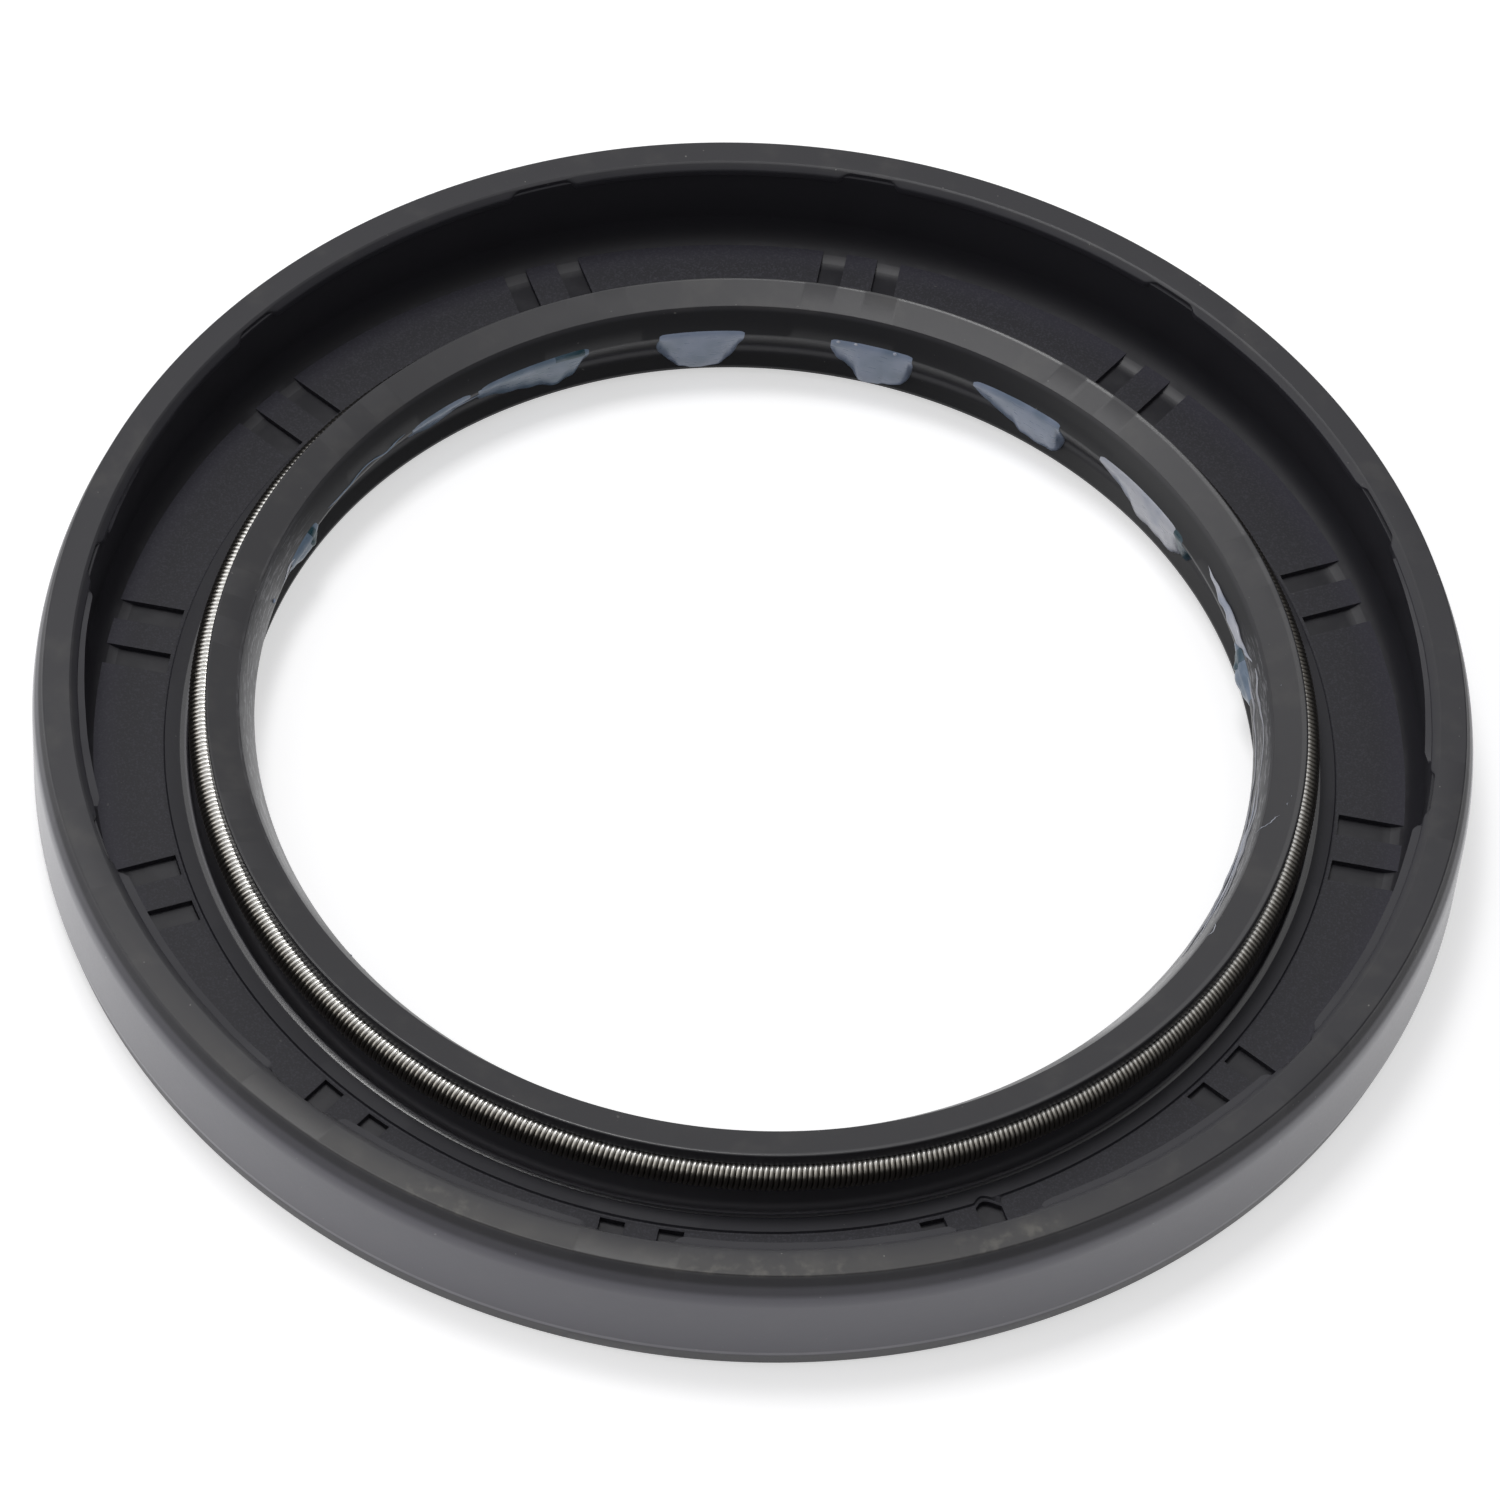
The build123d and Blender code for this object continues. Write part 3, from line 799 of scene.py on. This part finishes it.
# Drops: name, tone, degrees, place across the lip, half width
DROPS = (
    ("drop_back_1", "white", 90.3, 0.06, 0.14),
    ("drop_back_2", "white", 88.2, 0.08, 0.13),
    ("drop_back_3", "white", 83.4, 0.08, 0.14),
    ("drop_left", "pale", 175.7, 0.12, 0.16),
    ("drop_front_1", "white", 228.2, 0.05, 0.09),
    ("drop_front_2", "white", 230.6, 0.05, 0.06),
    ("speck_head_1", "white", 358.6, 1.6, 0.06),
    ("speck_head_2", "white", 359.7, 1.66, 0.04),
    ("speck_head_3", "white", 14.8, 1.3, 0.05),
)
DROP_SHAPE = ((-1, 0), (-0.5, 0.85), (0, 1), (0.5, 0.8), (1, 0))  # shares of its length and width
DAB_STEP = 0.12  # degrees from one ring of a dab's mesh to the next
DAB_BLUR = 11  # rings over which a dab's outline is evened out
DAB_SIDES = 12  # points on a dab's foot
DAB_ROUNDING = 0.6  # below 1, a fuller face
DAB_WOBBLE = 0.02  # share of its reach and its swell
DRIP = np.array((-0.4, -1.0))  # mm that a dab's tip moves for each reach past the dust lip's tip
THREAD_STEP = 0.1  # degrees
THREAD_SIDES = 10
THREAD_SWAY = 0.05  # share of the oil side's width
THREAD_ENDS = 0.5  # degrees over which a thread narrows at each end
THREAD_HEIGHT, THREAD_RISE = 0.62, 0.22  # shares of half its width
LEAST_WIDTH = 0.004  # mm


def lip_place(section, place):
    """Radius, height and outward direction at places across the lip: -1 the air side's root,
    0 the sealing edge, 1 the head's inner edge and 2 its outer edge."""
    s = section
    root, head = s.mm["dust_root_height"], s.mm["head_height"]
    knots = (-1, -0.05, 0.05, 1, 2)
    radii = (s.air_side(root), s.seal, s.seal, s.head_inner, s.head_outer)
    heights = (root, s.land_bottom, s.land_top, s.head_inner_height, head)
    radius, height = np.interp(place, knots, radii), np.interp(place, knots, heights)
    slope = math.atan2(s.mm["head_slope"], s.head_outer - s.head_inner)
    air, oil, top = math.pi + s.air_angle, math.pi - s.oil_angle, math.pi / 2 + slope
    facing = np.interp(place, (-1, -0.08, 0, 0.08, 0.97, 1.03, 2),
                       (air, air, math.pi, oil, oil, top, top))
    return radius, height, np.cos(facing), np.sin(facing)


def spread_stops(step, places, *columns):
    """Evenly spaced angles between stops, and the stops' other columns eased between them."""
    order = np.argsort(places)
    places = np.take(places, order)
    angles = np.arange(places[0], places[-1] + step / 2, step)
    index = np.clip(np.searchsorted(places, angles, side="right") - 1, 0, len(places) - 2)
    part = smooth_step((angles - places[index]) / (places[index + 1] - places[index]))
    eased = []
    for column in columns:
        values = np.take(column, order)
        eased.append(values[index] * (1 - part) + values[index + 1] * part)
    return angles, eased


def build_dab(section, settings, name, *stops):
    """A dab hung over the sealing edge and down the air side, with a rounded face to the bore."""
    outline, marks = rubber_outline(section)
    path = outline[marks["land_bottom"]:marks["dust_tip_under"]]
    top_radius, top_height, _, _ = lip_place(section, settings.overhang)
    run = np.concatenate([[0], np.cumsum(np.linalg.norm(np.diff(path, axis=0), axis=1))])
    angles, columns = spread_stops(DAB_STEP, *stops)
    blur = np.hanning(DAB_BLUR) / np.hanning(DAB_BLUR).sum()
    reach, swell = (np.convolve(np.pad(column, DAB_BLUR // 2, mode="edge"), blur, "valid")
                    for column in columns)
    wobble = 1 + DAB_WOBBLE * wave(np.radians(angles), len(name), 3, 40)
    seat = settings.seat / MM
    head = np.array((section.seal - 0.02, section.land_bottom + 0.03))
    part = np.linspace(0, 1, DAB_SIDES)
    back = 1 - part[1:-1, None]
    loops = []
    for far, bulge in zip(reach * wobble, swell * wobble):
        along = part * (min(far, 1) * run[-1])
        foot = np.stack([np.interp(along, run, path[:, axis]) for axis in (0, 1)], -1)
        foot[:, 0] += seat
        tip = foot[-1] + DRIP * max(far - 1, 0) - np.array((seat + 0.04, 0))
        face = head * (1 - back) + tip * back
        face[:, 0] -= bulge * np.sin(back[:, 0] * math.pi) ** DAB_ROUNDING
        over = (section.seal - bulge * 0.3, section.land_top)
        top = (top_radius + seat, top_height) if far > 0.1 else over
        loops.append(np.concatenate([foot, [tip], face, [head - (bulge * 0.3, 0), over, top]]))
    loops = np.array(loops)
    vertices = ring_vertices(loops[..., 0], loops[..., 1], np.radians(angles)[:, None])
    return section.leaned(vertices.reshape(-1, 3)), tube_faces(*loops.shape[:2])


def build_thread(section, name, *stops):
    """A thread of grease laid along the lip, thick and thin by turns."""
    angles, (place, width) = spread_stops(THREAD_STEP, *stops)
    turns = np.radians(angles)
    sway = THREAD_SWAY * wave(turns, len(name) + 3, 4, 24)
    place = place + sway * np.clip(width / 0.1, 0, 1)
    uneven = np.clip(0.03 / np.maximum(width, 0.01), 0, 0.25)
    width = width * (1 + wave(turns, len(name) + 9, 5, 45) * uneven)
    ends = np.minimum(angles - angles[0], angles[-1] - angles)
    width = np.maximum(width * np.sqrt(np.clip(ends / THREAD_ENDS, 0, 1)), LEAST_WIDTH)
    radius, height, out, up = lip_place(section, place)
    vertices = []
    for side in range(THREAD_SIDES):
        angle = 2 * math.pi * side / THREAD_SIDES
        across = width * math.cos(angle)
        lift = width * (THREAD_HEIGHT * math.sin(angle) + THREAD_RISE)
        one_radius = radius + across * up + lift * out
        one_height = height - across * out + lift * up
        vertices.append(ring_vertices(one_radius, one_height, turns))
    vertices = np.stack(vertices, 1)
    return section.leaned(vertices.reshape(-1, 3)), tube_faces(len(angles), THREAD_SIDES)


def build_grease(section, settings):
    """Every dab, thread and drop of grease, each its own piece."""
    finishes = {
        tone: grease_material(f"{tone} grease", getattr(settings, tone), getattr(settings, other),
                              settings)
        for tone, other in TONES
    }
    meshes = [(name, tone, build_dab(section, settings, name, *stops), 60)
              for name, tone, *stops in DABS]
    meshes += [(name, tone, build_thread(section, name, *stops), None)
               for name, tone, *stops in THREADS]
    for name, tone, angle, place, width in DROPS:
        half = math.degrees(width / section.seal) * 1.5
        stops = zip(*((angle + half * along, place, width * across)
                      for along, across in DROP_SHAPE))
        meshes.append((name, tone, build_thread(section, name, *stops), None))
    for name, tone, mesh, sharp in meshes:
        new_piece(f"grease_{name}", *mesh, finishes[tone], sharp=sharp)


# ---------------------------------------------------------------- materials


def both_ways(operation):
    """The methods of an operator with a value on its left, and with one on its right only."""

    def left(self, other):
        return self.maths(operation, self, other)

    def right(self, other):
        return self.maths(operation, other, self)

    return left, right


class Value:
    """A node's output in an expression: sums, products and remainders on it add Math nodes."""

    def __init__(self, nodes, socket):
        self.nodes, self.socket = nodes, socket

    def maths(self, operation, *operands):
        sockets = dict(enumerate(operands))
        return self.nodes.add("ShaderNodeMath", {"operation": operation}, sockets)

    __add__, __radd__ = both_ways("ADD")
    __sub__, __rsub__ = both_ways("SUBTRACT")
    __mul__, __rmul__ = both_ways("MULTIPLY")
    __mod__, __rmod__ = both_ways("FLOORED_MODULO")

    def __abs__(self):
        return self.maths("ABSOLUTE", self)

    def ramp(self, low, high):
        """0 up to low and 1 from high, smooth between; low may be above high."""
        sockets = {"Value": self, "From Min": low, "From Max": high}
        return self.nodes.add("ShaderNodeMapRange", {"interpolation_type": "SMOOTHSTEP"}, sockets)

    def within(self, low, high, soft):
        """1 between low and high, fading out over soft on each side."""
        return self.ramp(low - soft, low) * self.ramp(high + soft, high)

    def out(self, name):
        """Another output of the same node."""
        return Value(self.nodes, pick_socket(self.socket.node.outputs, name))


def pick_socket(sockets, key):
    """A node's socket by its name, or by its place among those in use."""
    in_use = [socket for socket in sockets if socket.enabled]
    if isinstance(key, int):
        return in_use[key]
    return next(socket for socket in in_use if socket.name == key)


class Nodes:
    """The nodes of one material or world."""

    def __init__(self, owner):
        owner.use_nodes = True
        self.tree = owner.node_tree
        self.tree.nodes.clear()

    def add(self, kind, settings=None, sockets=None, output=0):
        """Adds a node: its settings first, then the values or links of its sockets."""
        node = self.tree.nodes.new(kind)
        for name, value in (settings or {}).items():
            setattr(node, name, value)
        for key, value in (sockets or {}).items():
            socket = pick_socket(node.inputs, key)
            if isinstance(value, Value):
                self.tree.links.new(value.socket, socket)
            elif socket.type == "RGBA":
                socket.default_value = (*value, 1.0)
            else:
                socket.default_value = value
        return Value(self, pick_socket(node.outputs, output)) if node.outputs else None

    def mix(self, mask, first, second):
        """The first colour where the mask is 0 and the second where it is 1."""
        sockets = {"Factor": mask, "A": first, "B": second}
        return self.add("ShaderNodeMix", {"data_type": "RGBA"}, sockets)


LIP_RADIUS = 36.0  # mm, near the lip's oil side


class Place:
    """Where a shaded point is on the seal: millimetres, and degrees from +X."""

    def __init__(self, nodes):
        self.nodes = nodes
        self.point = nodes.add("ShaderNodeTexCoord", output="Object")
        x = nodes.add("ShaderNodeSeparateXYZ", None, {"Vector": self.point})
        y, z = x.out("Y"), x.out("Z")
        self.height = z * (1 / MM)
        flat = x * x + y * y
        self.radius = flat.maths("SQRT", flat) * (1 / MM)
        self.degrees = x.maths("ARCTAN2", y, x) * (180 / math.pi)

    def around(self, *arcs):
        """1 in arcs round the seal, each given in degrees as its middle, half its width and the
        fade at its ends."""
        first, *others = (
            abs((self.degrees + (540 - middle)) % 360 - 180).ramp(half + fade, half)
            for middle, half, fade in arcs
        )
        return sum(others, first)

    def noise(self, size, detail=2.0, roughness=0.5):
        """Noise with features of a size in mm."""
        scaled = self.nodes.add("ShaderNodeVectorMath", {"operation": "MULTIPLY"},
                                {0: self.point, 1: (1 / MM / size,) * 3})
        return self.texture(scaled, detail, roughness)

    def streaks(self, along, across, detail=2.0, roughness=0.5):
        """Noise drawn out round the seal, with its features' size in mm along and across."""
        degree = math.radians(LIP_RADIUS)
        drawn = self.nodes.add("ShaderNodeCombineXYZ", None, {
            "X": self.degrees * (degree / along), "Y": self.radius * (1 / across),
            "Z": self.height * (1 / across)})
        return self.texture(drawn, detail, roughness)

    def texture(self, vector, detail, roughness):
        return self.nodes.add("ShaderNodeTexNoise", None, {
            "Vector": vector, "Scale": 1.0, "Detail": detail, "Roughness": roughness})


BUMP_DEPTH = 0.05 * MM


def surface_material(name, shade):
    """A material whose shade function returns its colour, roughness and relief, the relief's
    strength, and what its other sockets take."""
    material = bpy.data.materials.new(name)
    nodes = Nodes(material)
    base, roughness, relief, strength, sockets = shade(nodes, Place(nodes))
    bump = nodes.add("ShaderNodeBump", None, {
        "Strength": strength, "Distance": BUMP_DEPTH, "Height": relief})
    surface = nodes.add("ShaderNodeBsdfPrincipled", None, {
        "Base Color": base, "Roughness": roughness, "Normal": bump, **sockets})
    nodes.add("ShaderNodeOutputMaterial", None, {"Surface": surface})
    return material


# Arcs round the seal, in degrees: middle, half the width, and the fade at the ends
HANDLED_ARC = (266, 18, 45)
PALE_ARCS = ((255, 2.0, 2.0), (281, 5.0, 4.0), (300, 3.0, 2.5))
SMEARED_ARCS = ((194, 18, 16), (352, 26, 8))
# Heights in mm over which the lead-in's darker tone, which is painted shade, gives way to the
# wall's, and each one's share
LEAD_IN_SHADE_FADES = ((9.3, 8.9, 0.4), (8.55, 8.05, 0.6))
BEND_SHEEN = (43.5, 45.8)  # mm, radii over which the floor turns pale towards the bend, a painted sheen
GRAIN_TONE = 2.4  # times the floor's own colour


def rubber_material(section, colours):
    """Moulded rubber: grained floor, satin rim and wall, pale bloom, dust and smeared grease."""
    s = section

    def shade(nodes, place):
        radius, height = place.radius, place.height
        cloud, fine, blotch = place.noise(3.0, 4), place.noise(0.14, 2), place.noise(0.9, 3)
        # The seal's surfaces
        outside = radius.ramp(s.rim_outer - 0.1, s.rim_outer + 0.15)
        inside = 1 - outside
        upper, lower = (height.ramp(high, low) * part for high, low, part in LEAD_IN_SHADE_FADES)
        low_wall = upper + lower
        foot = height.ramp(1.7, 1.45)
        rim = height.ramp(s.top - 0.35, s.top - 0.05) * inside
        head = height.ramp(6.9, 7.3) * radius.ramp(s.head_outer + 1, s.head_outer + 0.5)
        flat = height.ramp(3.3, 3.1)
        on_floor = radius.within(s.ring_outer + 0.05, s.case_inner - 0.6, 0.1) * flat
        matt = radius.within(s.bead_outer + 0.1, s.case_inner - 0.6, 0.1) * flat
        oil_side = radius.ramp(s.head_inner + 0.06, s.head_inner - 0.02) * height.ramp(
            s.land_bottom, s.land_top)
        lips = radius.ramp(s.head_inner + 0.5, s.head_inner + 0.02) * (1 - head)
        well = radius.within(s.head_inner + 1, s.ring_inner - 0.06, 0.1) * height.ramp(5.0, 4.6)
        bead = radius.within(s.ring_inner - 0.5, s.bead_outer, 0.1) * height.ramp(2.2, 2.5)
        edges = bead + radius.within(s.head_outer - 0.2, s.head_outer, 0.1) * head * 0.5
        # Painted shade: the oil side, the air side and the dust lip take the darkest colour
        base = nodes.mix(lips, colours.inside, colours.lips)
        # Painted light: the well and the neck take a lighter colour to offset their shade
        base = nodes.mix(well, base, colours.well)
        # Painted sheen: the floor turns paler towards the case's bend
        base = nodes.mix(on_floor * radius.ramp(*BEND_SHEEN) * 0.5, base, colours.side)
        base = nodes.mix(head, base, colours.head)
        base = nodes.mix(rim, base, colours.rim)
        # Painted shade: the lead-in cone takes a darker tone than the wall
        wall = nodes.mix(low_wall, colours.lead_in, colours.side)
        # Painted shade: the back chamfer takes the darker foot colour
        wall = nodes.mix(foot, wall, colours.foot)
        # Painted highlight along the edge where the wall meets the back chamfer, in a cloudy band
        edge_highlight = height.within(1.6, 1.8, 0.12) * (0.3 + cloud * 0.6)
        wall = nodes.mix(edge_highlight, wall, colours.edge_highlight)
        base = nodes.mix(outside, base, wall)
        # Pale bloom where the rim and the head have been handled
        bloom = cloud.ramp(0.5, 0.78) * (rim * 0.2 + head * 0.15 + outside * 0.06)
        outer_rim = rim * radius.ramp(s.rim_inner - 0.2, s.rim_outer - 0.5)
        bloom = bloom + place.around(HANDLED_ARC) * outer_rim * (0.12 + cloud * 0.32)
        bloom = bloom + place.around(*PALE_ARCS) * outer_rim * blotch.ramp(0.45, 0.75) * 0.6
        base = nodes.mix(bloom, base, colours.bloom)
        # Grease smeared along the oil side at the left and right, thickest near the sealing edge
        streak = place.streaks(1.3, 0.13, 3, 0.65)
        near_edge = height.ramp(s.land_top + 2.2, s.land_top + 0.9)
        smeared = oil_side * place.around(*SMEARED_ARCS) * near_edge
        base = nodes.mix(smeared * (0.1 + streak.ramp(0.5, 0.64) * 0.75), base, colours.film)
        specks = place.noise(0.42, 1).ramp(0.79, 0.81)
        base = nodes.mix(specks * (0.15 + rim * 0.25), base, colours.dust)
        grain = fine.ramp(0.45, 0.7) * on_floor * 0.65
        base = nodes.mix(grain, base, tuple(value * GRAIN_TONE for value in colours.inside))
        roughness = fine * 0.08 + (colours.roughness - 0.04) + matt * 0.22 + well * 0.2
        roughness = roughness + outside * (1 - low_wall) * 0.2 - smeared * 0.1 - edges * 0.2
        relief = fine * (0.15 + on_floor * 0.85) + blotch * 0.4
        coat = outside * low_wall * (1 - foot) * 0.78 + edges + smeared * 0.4
        return base, roughness, relief, 0.25, {
            "Specular IOR Level": colours.gloss, "Coat Weight": coat, "Coat Roughness": 0.25}

    return surface_material("moulded rubber", shade)


SHEEN_ARC = (45.05, 45.6)  # mm, radii of the pale band at the bend's start, a painted highlight standing in for the bend's reflection


def case_material(section, colours):
    """Black bonding coat on the pressed steel, mottled where the supports rubbed it in the pockets,
    with a painted highlight on the pale band at the bend's start.
    """

    def shade(nodes, place):
        cloud = place.noise(2.0, 3)
        fine = place.noise(0.3, 2)
        low = place.height.ramp(section.floor + 0.3, section.floor)
        # Painted highlight: a pale band on the coat at the bend's start, standing in for its
        # reflection
        sheen_arc = place.radius.within(*SHEEN_ARC, 0.1) * (0.6 + cloud * 0.4)
        scuffed_and_sheen = (sheen_arc + cloud.ramp(0.42, 0.7) * 0.35) * low
        base = nodes.mix(scuffed_and_sheen, colours.coat, colours.scuff_and_sheen)
        roughness = cloud * 0.12 + (colours.roughness - 0.06)
        return base, roughness, cloud + fine * 0.4, 0.12, {"Specular IOR Level": colours.gloss}

    return surface_material("bonding coat", shade)


def wire_material(section, settings):
    """Bright drawn wire, with painted shade in a brown tone low down and on its outer side."""

    def shade(nodes, place):
        cloud = place.noise(0.35, 2)
        # Painted shade: the wire turns brown and dark low down and on its outer side
        low = place.height.ramp(section.spring_height + 0.85, section.spring_height + 0.2)
        shaded_flank = place.radius.ramp(section.spring_radius + 0.15, section.spring_radius + 0.58)
        dull = tuple(value * 0.7 for value in settings.steel)
        base = nodes.mix(cloud * 0.5, settings.steel, dull)
        base = nodes.mix(shaded_flank * 0.75, base, settings.wire_shade)
        base = nodes.mix(low * 0.8, base, settings.wire_shade)
        roughness = cloud * 0.12 + (settings.roughness - 0.06)
        return base, roughness, cloud, 0.06, {"Metallic": 1.0}

    return surface_material("drawn wire", shade)


def grease_material(name, main, other, settings):
    """Grease: glossy and clouded, with the other tone drifting through it."""

    def shade(nodes, place):
        cloud = place.noise(2.2, 1)
        fine = place.streaks(1.2, 0.3, 2)
        base = nodes.mix(cloud.ramp(0.42, 0.72) * 0.6, main, other)
        base = nodes.mix(fine.ramp(0.6, 0.8) * 0.15, base, settings.white)
        roughness = fine * 0.2 + (settings.roughness - 0.1)
        return base, roughness, fine + cloud, 0.35, {}

    return surface_material(name, shade)


# ---------------------------------------------------------------- stage

SENSOR_WIDTH = 36.0  # mm
NEAREST, FURTHEST = 0.01, 10.0  # metres from the camera
FLOOR_REACH = 3.0  # metres
FLOOR_DROP = 0.02 * MM  # keeps the floor clear of the seal's back face
# Lamps: name, its power's setting, direction from the camera's side, distance and size in metres
LAMPS = (
    ("overhead", "key", (-0.16, 0.21, 0.965), 0.7, 0.18),
    ("left", "fill", (-1.0, -0.05, 0.38), 0.7, 0.6),
)


def turned(stage, right, back, up):
    """A place or a direction that is given from the camera's side of the seal."""
    cos_turn, sin_turn = math.cos(stage.camera_azimuth), math.sin(stage.camera_azimuth)
    return Vector((right * cos_turn - back * sin_turn, right * sin_turn + back * cos_turn, up))


def build_camera(stage):
    """A camera that looks down at the seal from its front."""
    data = bpy.data.cameras.new("camera")
    data.sensor_width = SENSOR_WIDTH
    data.lens = stage.lens_share * SENSOR_WIDTH
    data.clip_start, data.clip_end = NEAREST, FURTHEST
    camera = add_object("camera", data)
    aim = turned(stage, stage.aim_right, stage.aim_back, 0)
    level = stage.camera_distance * math.cos(stage.camera_elevation)
    rise = stage.camera_distance * math.sin(stage.camera_elevation)
    eye = turned(stage, 0, -level, rise)
    ahead = (aim - eye).normalized()
    right = ahead.cross(Vector((0, 0, 1))).normalized()
    up = right.cross(ahead)
    cos_roll, sin_roll = math.cos(stage.camera_roll), math.sin(stage.camera_roll)
    right, up = cos_roll * right + sin_roll * up, cos_roll * up - sin_roll * right
    matrix = Matrix((right, up, -ahead)).transposed().to_4x4()
    matrix.translation = eye
    camera.matrix_world = matrix
    bpy.context.scene.camera = camera


def seeing_rays(nodes):
    """1 for rays that see the background itself: from the camera, in gloss and through glass."""
    path = nodes.add("ShaderNodeLightPath")
    sees = path.out("Is Camera Ray") + path.out("Is Glossy Ray") + path.out("Is Transmission Ray")
    return sees.maths("MINIMUM", sees, 1.0)


def build_floor(stage):
    """A wide pale floor that keeps the seal's shadow and reads as white."""
    corners = [(x * FLOOR_REACH, y * FLOOR_REACH, 0)
               for x, y in ((-1, -1), (1, -1), (1, 1), (-1, 1))]
    mesh = bpy.data.meshes.new("floor")
    mesh.from_pydata(corners, [], [(0, 1, 2, 3)])
    floor = add_object("floor", mesh)
    floor.location.z = -FLOOR_DROP
    material = bpy.data.materials.new("pale floor")
    nodes = Nodes(material)
    diffuse = nodes.add("ShaderNodeBsdfDiffuse", None, {"Color": stage.floor})
    strength = seeing_rays(nodes) * stage.floor_glow
    glow = nodes.add("ShaderNodeEmission", None, {"Strength": strength})
    both = nodes.add("ShaderNodeAddShader", None, {0: diffuse, 1: glow})
    nodes.add("ShaderNodeOutputMaterial", None, {"Surface": both})
    mesh.materials.append(material)


def build_world(stage):
    """Even light all round, which shows as white to the camera and in gloss."""
    world = bpy.data.worlds.new("studio")
    bpy.context.scene.world = world
    nodes = Nodes(world)
    path = nodes.add("ShaderNodeLightPath")
    # The side of the room behind the camera is dim, and shows so in gloss alone
    towards = nodes.add("ShaderNodeTexCoord", output="Generated")
    facing, beside = (
        nodes.add("ShaderNodeVectorMath", {"operation": "DOT_PRODUCT"},
                  {0: towards, 1: turned(stage, *side)}, "Value")
        for side in ((0, -1, 0), (1, 0, 0))
    )
    dim = 1 - (1 - facing.ramp(0.4, 0.85)) * (1 - beside.ramp(0.2, 0.6) * stage.right_dim)
    dim = dim * path.out("Is Glossy Ray") * (1 - stage.front_gloss)
    strength = (seeing_rays(nodes) * (1 - stage.world) + stage.world) * (1 - dim)
    background = nodes.add("ShaderNodeBackground", None, {"Color": (1, 1, 1), "Strength": strength})
    nodes.add("ShaderNodeOutputWorld", None, {"Surface": background})


def build_lamps(stage):
    """Square soft boxes aimed at the seal."""
    for name, power, direction, distance, size in LAMPS:
        data = bpy.data.lights.new(name, "AREA")
        data.shape, data.size, data.energy = "SQUARE", size, getattr(stage, power)
        lamp = add_object(name, data)
        towards = turned(stage, *direction).normalized()
        lamp.location = towards * distance
        lamp.rotation_euler = (-towards).to_track_quat("-Z", "Y").to_euler()


# ---------------------------------------------------------------- operators


class SEAL_OT_rubber(bpy.types.Operator):
    """Build the moulded rubber body"""

    bl_idname = "seal.rubber"
    bl_label = "Rubber body"

    def execute(self, context):
        section = Section(context.scene.seal_section)
        build_rubber(section, rubber_material(section, context.scene.seal_rubber))
        return {"FINISHED"}


class SEAL_OT_case(bpy.types.Operator):
    """Build the pressed steel case"""

    bl_idname = "seal.case"
    bl_label = "Steel case"

    def execute(self, context):
        section = Section(context.scene.seal_section)
        build_case(section, case_material(section, context.scene.seal_case))
        return {"FINISHED"}


class SEAL_OT_spring(bpy.types.Operator):
    """Wind the garter spring"""

    bl_idname = "seal.spring"
    bl_label = "Garter spring"

    def execute(self, context):
        section, settings = Section(context.scene.seal_section), context.scene.seal_spring
        build_spring(section, settings, wire_material(section, settings))
        return {"FINISHED"}


class SEAL_OT_grease(bpy.types.Operator):
    """Lay the dabs, threads and drops of grease on the lips"""

    bl_idname = "seal.grease"
    bl_label = "Grease"

    def execute(self, context):
        build_grease(Section(context.scene.seal_section), context.scene.seal_grease)
        return {"FINISHED"}


class SEAL_OT_stage(bpy.types.Operator):
    """Set up the floor, the lights and the camera"""

    bl_idname = "seal.stage"
    bl_label = "Stage"

    def execute(self, context):
        stage = context.scene.seal_stage
        build_floor(stage)
        build_world(stage)
        build_lamps(stage)
        build_camera(stage)
        context.scene.view_settings.view_transform = "Standard"
        return {"FINISHED"}


class SEAL_PT_panel(bpy.types.Panel):
    """Lists the seal's pieces"""

    bl_idname = "SEAL_PT_panel"
    bl_label = "Shaft seal"
    bl_space_type = "VIEW_3D"
    bl_region_type = "UI"
    bl_category = "Shaft Seal"

    def draw(self, context):
        for operator in OPERATORS:
            self.layout.operator(operator.bl_idname)


OPERATORS = (SEAL_OT_rubber, SEAL_OT_case, SEAL_OT_spring, SEAL_OT_grease, SEAL_OT_stage)
SETTINGS = {
    "seal_section": SectionSizes,
    "seal_rubber": RubberFinish,
    "seal_case": CaseFinish,
    "seal_spring": SpringSizes,
    "seal_grease": GreaseSettings,
    "seal_stage": StageSettings,
}


def register():
    for group in SETTINGS.values():
        bpy.utils.register_class(group)
    for name, group in SETTINGS.items():
        setattr(bpy.types.Scene, name, PointerProperty(type=group))
    for operator in OPERATORS:
        bpy.utils.register_class(operator)
    bpy.utils.register_class(SEAL_PT_panel)


def unregister():
    bpy.utils.unregister_class(SEAL_PT_panel)
    for operator in reversed(OPERATORS):
        bpy.utils.unregister_class(operator)
    for name, group in reversed(SETTINGS.items()):
        delattr(bpy.types.Scene, name)
        bpy.utils.unregister_class(group)


def write_sizes():
    """Updates the view layer."""
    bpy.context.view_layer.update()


def main():
    register()
    seal = bpy.ops.seal
    for step in (seal.rubber, seal.case, seal.spring, seal.grease, seal.stage):
        step()
    write_sizes()


if __name__ == "__main__":
    main()
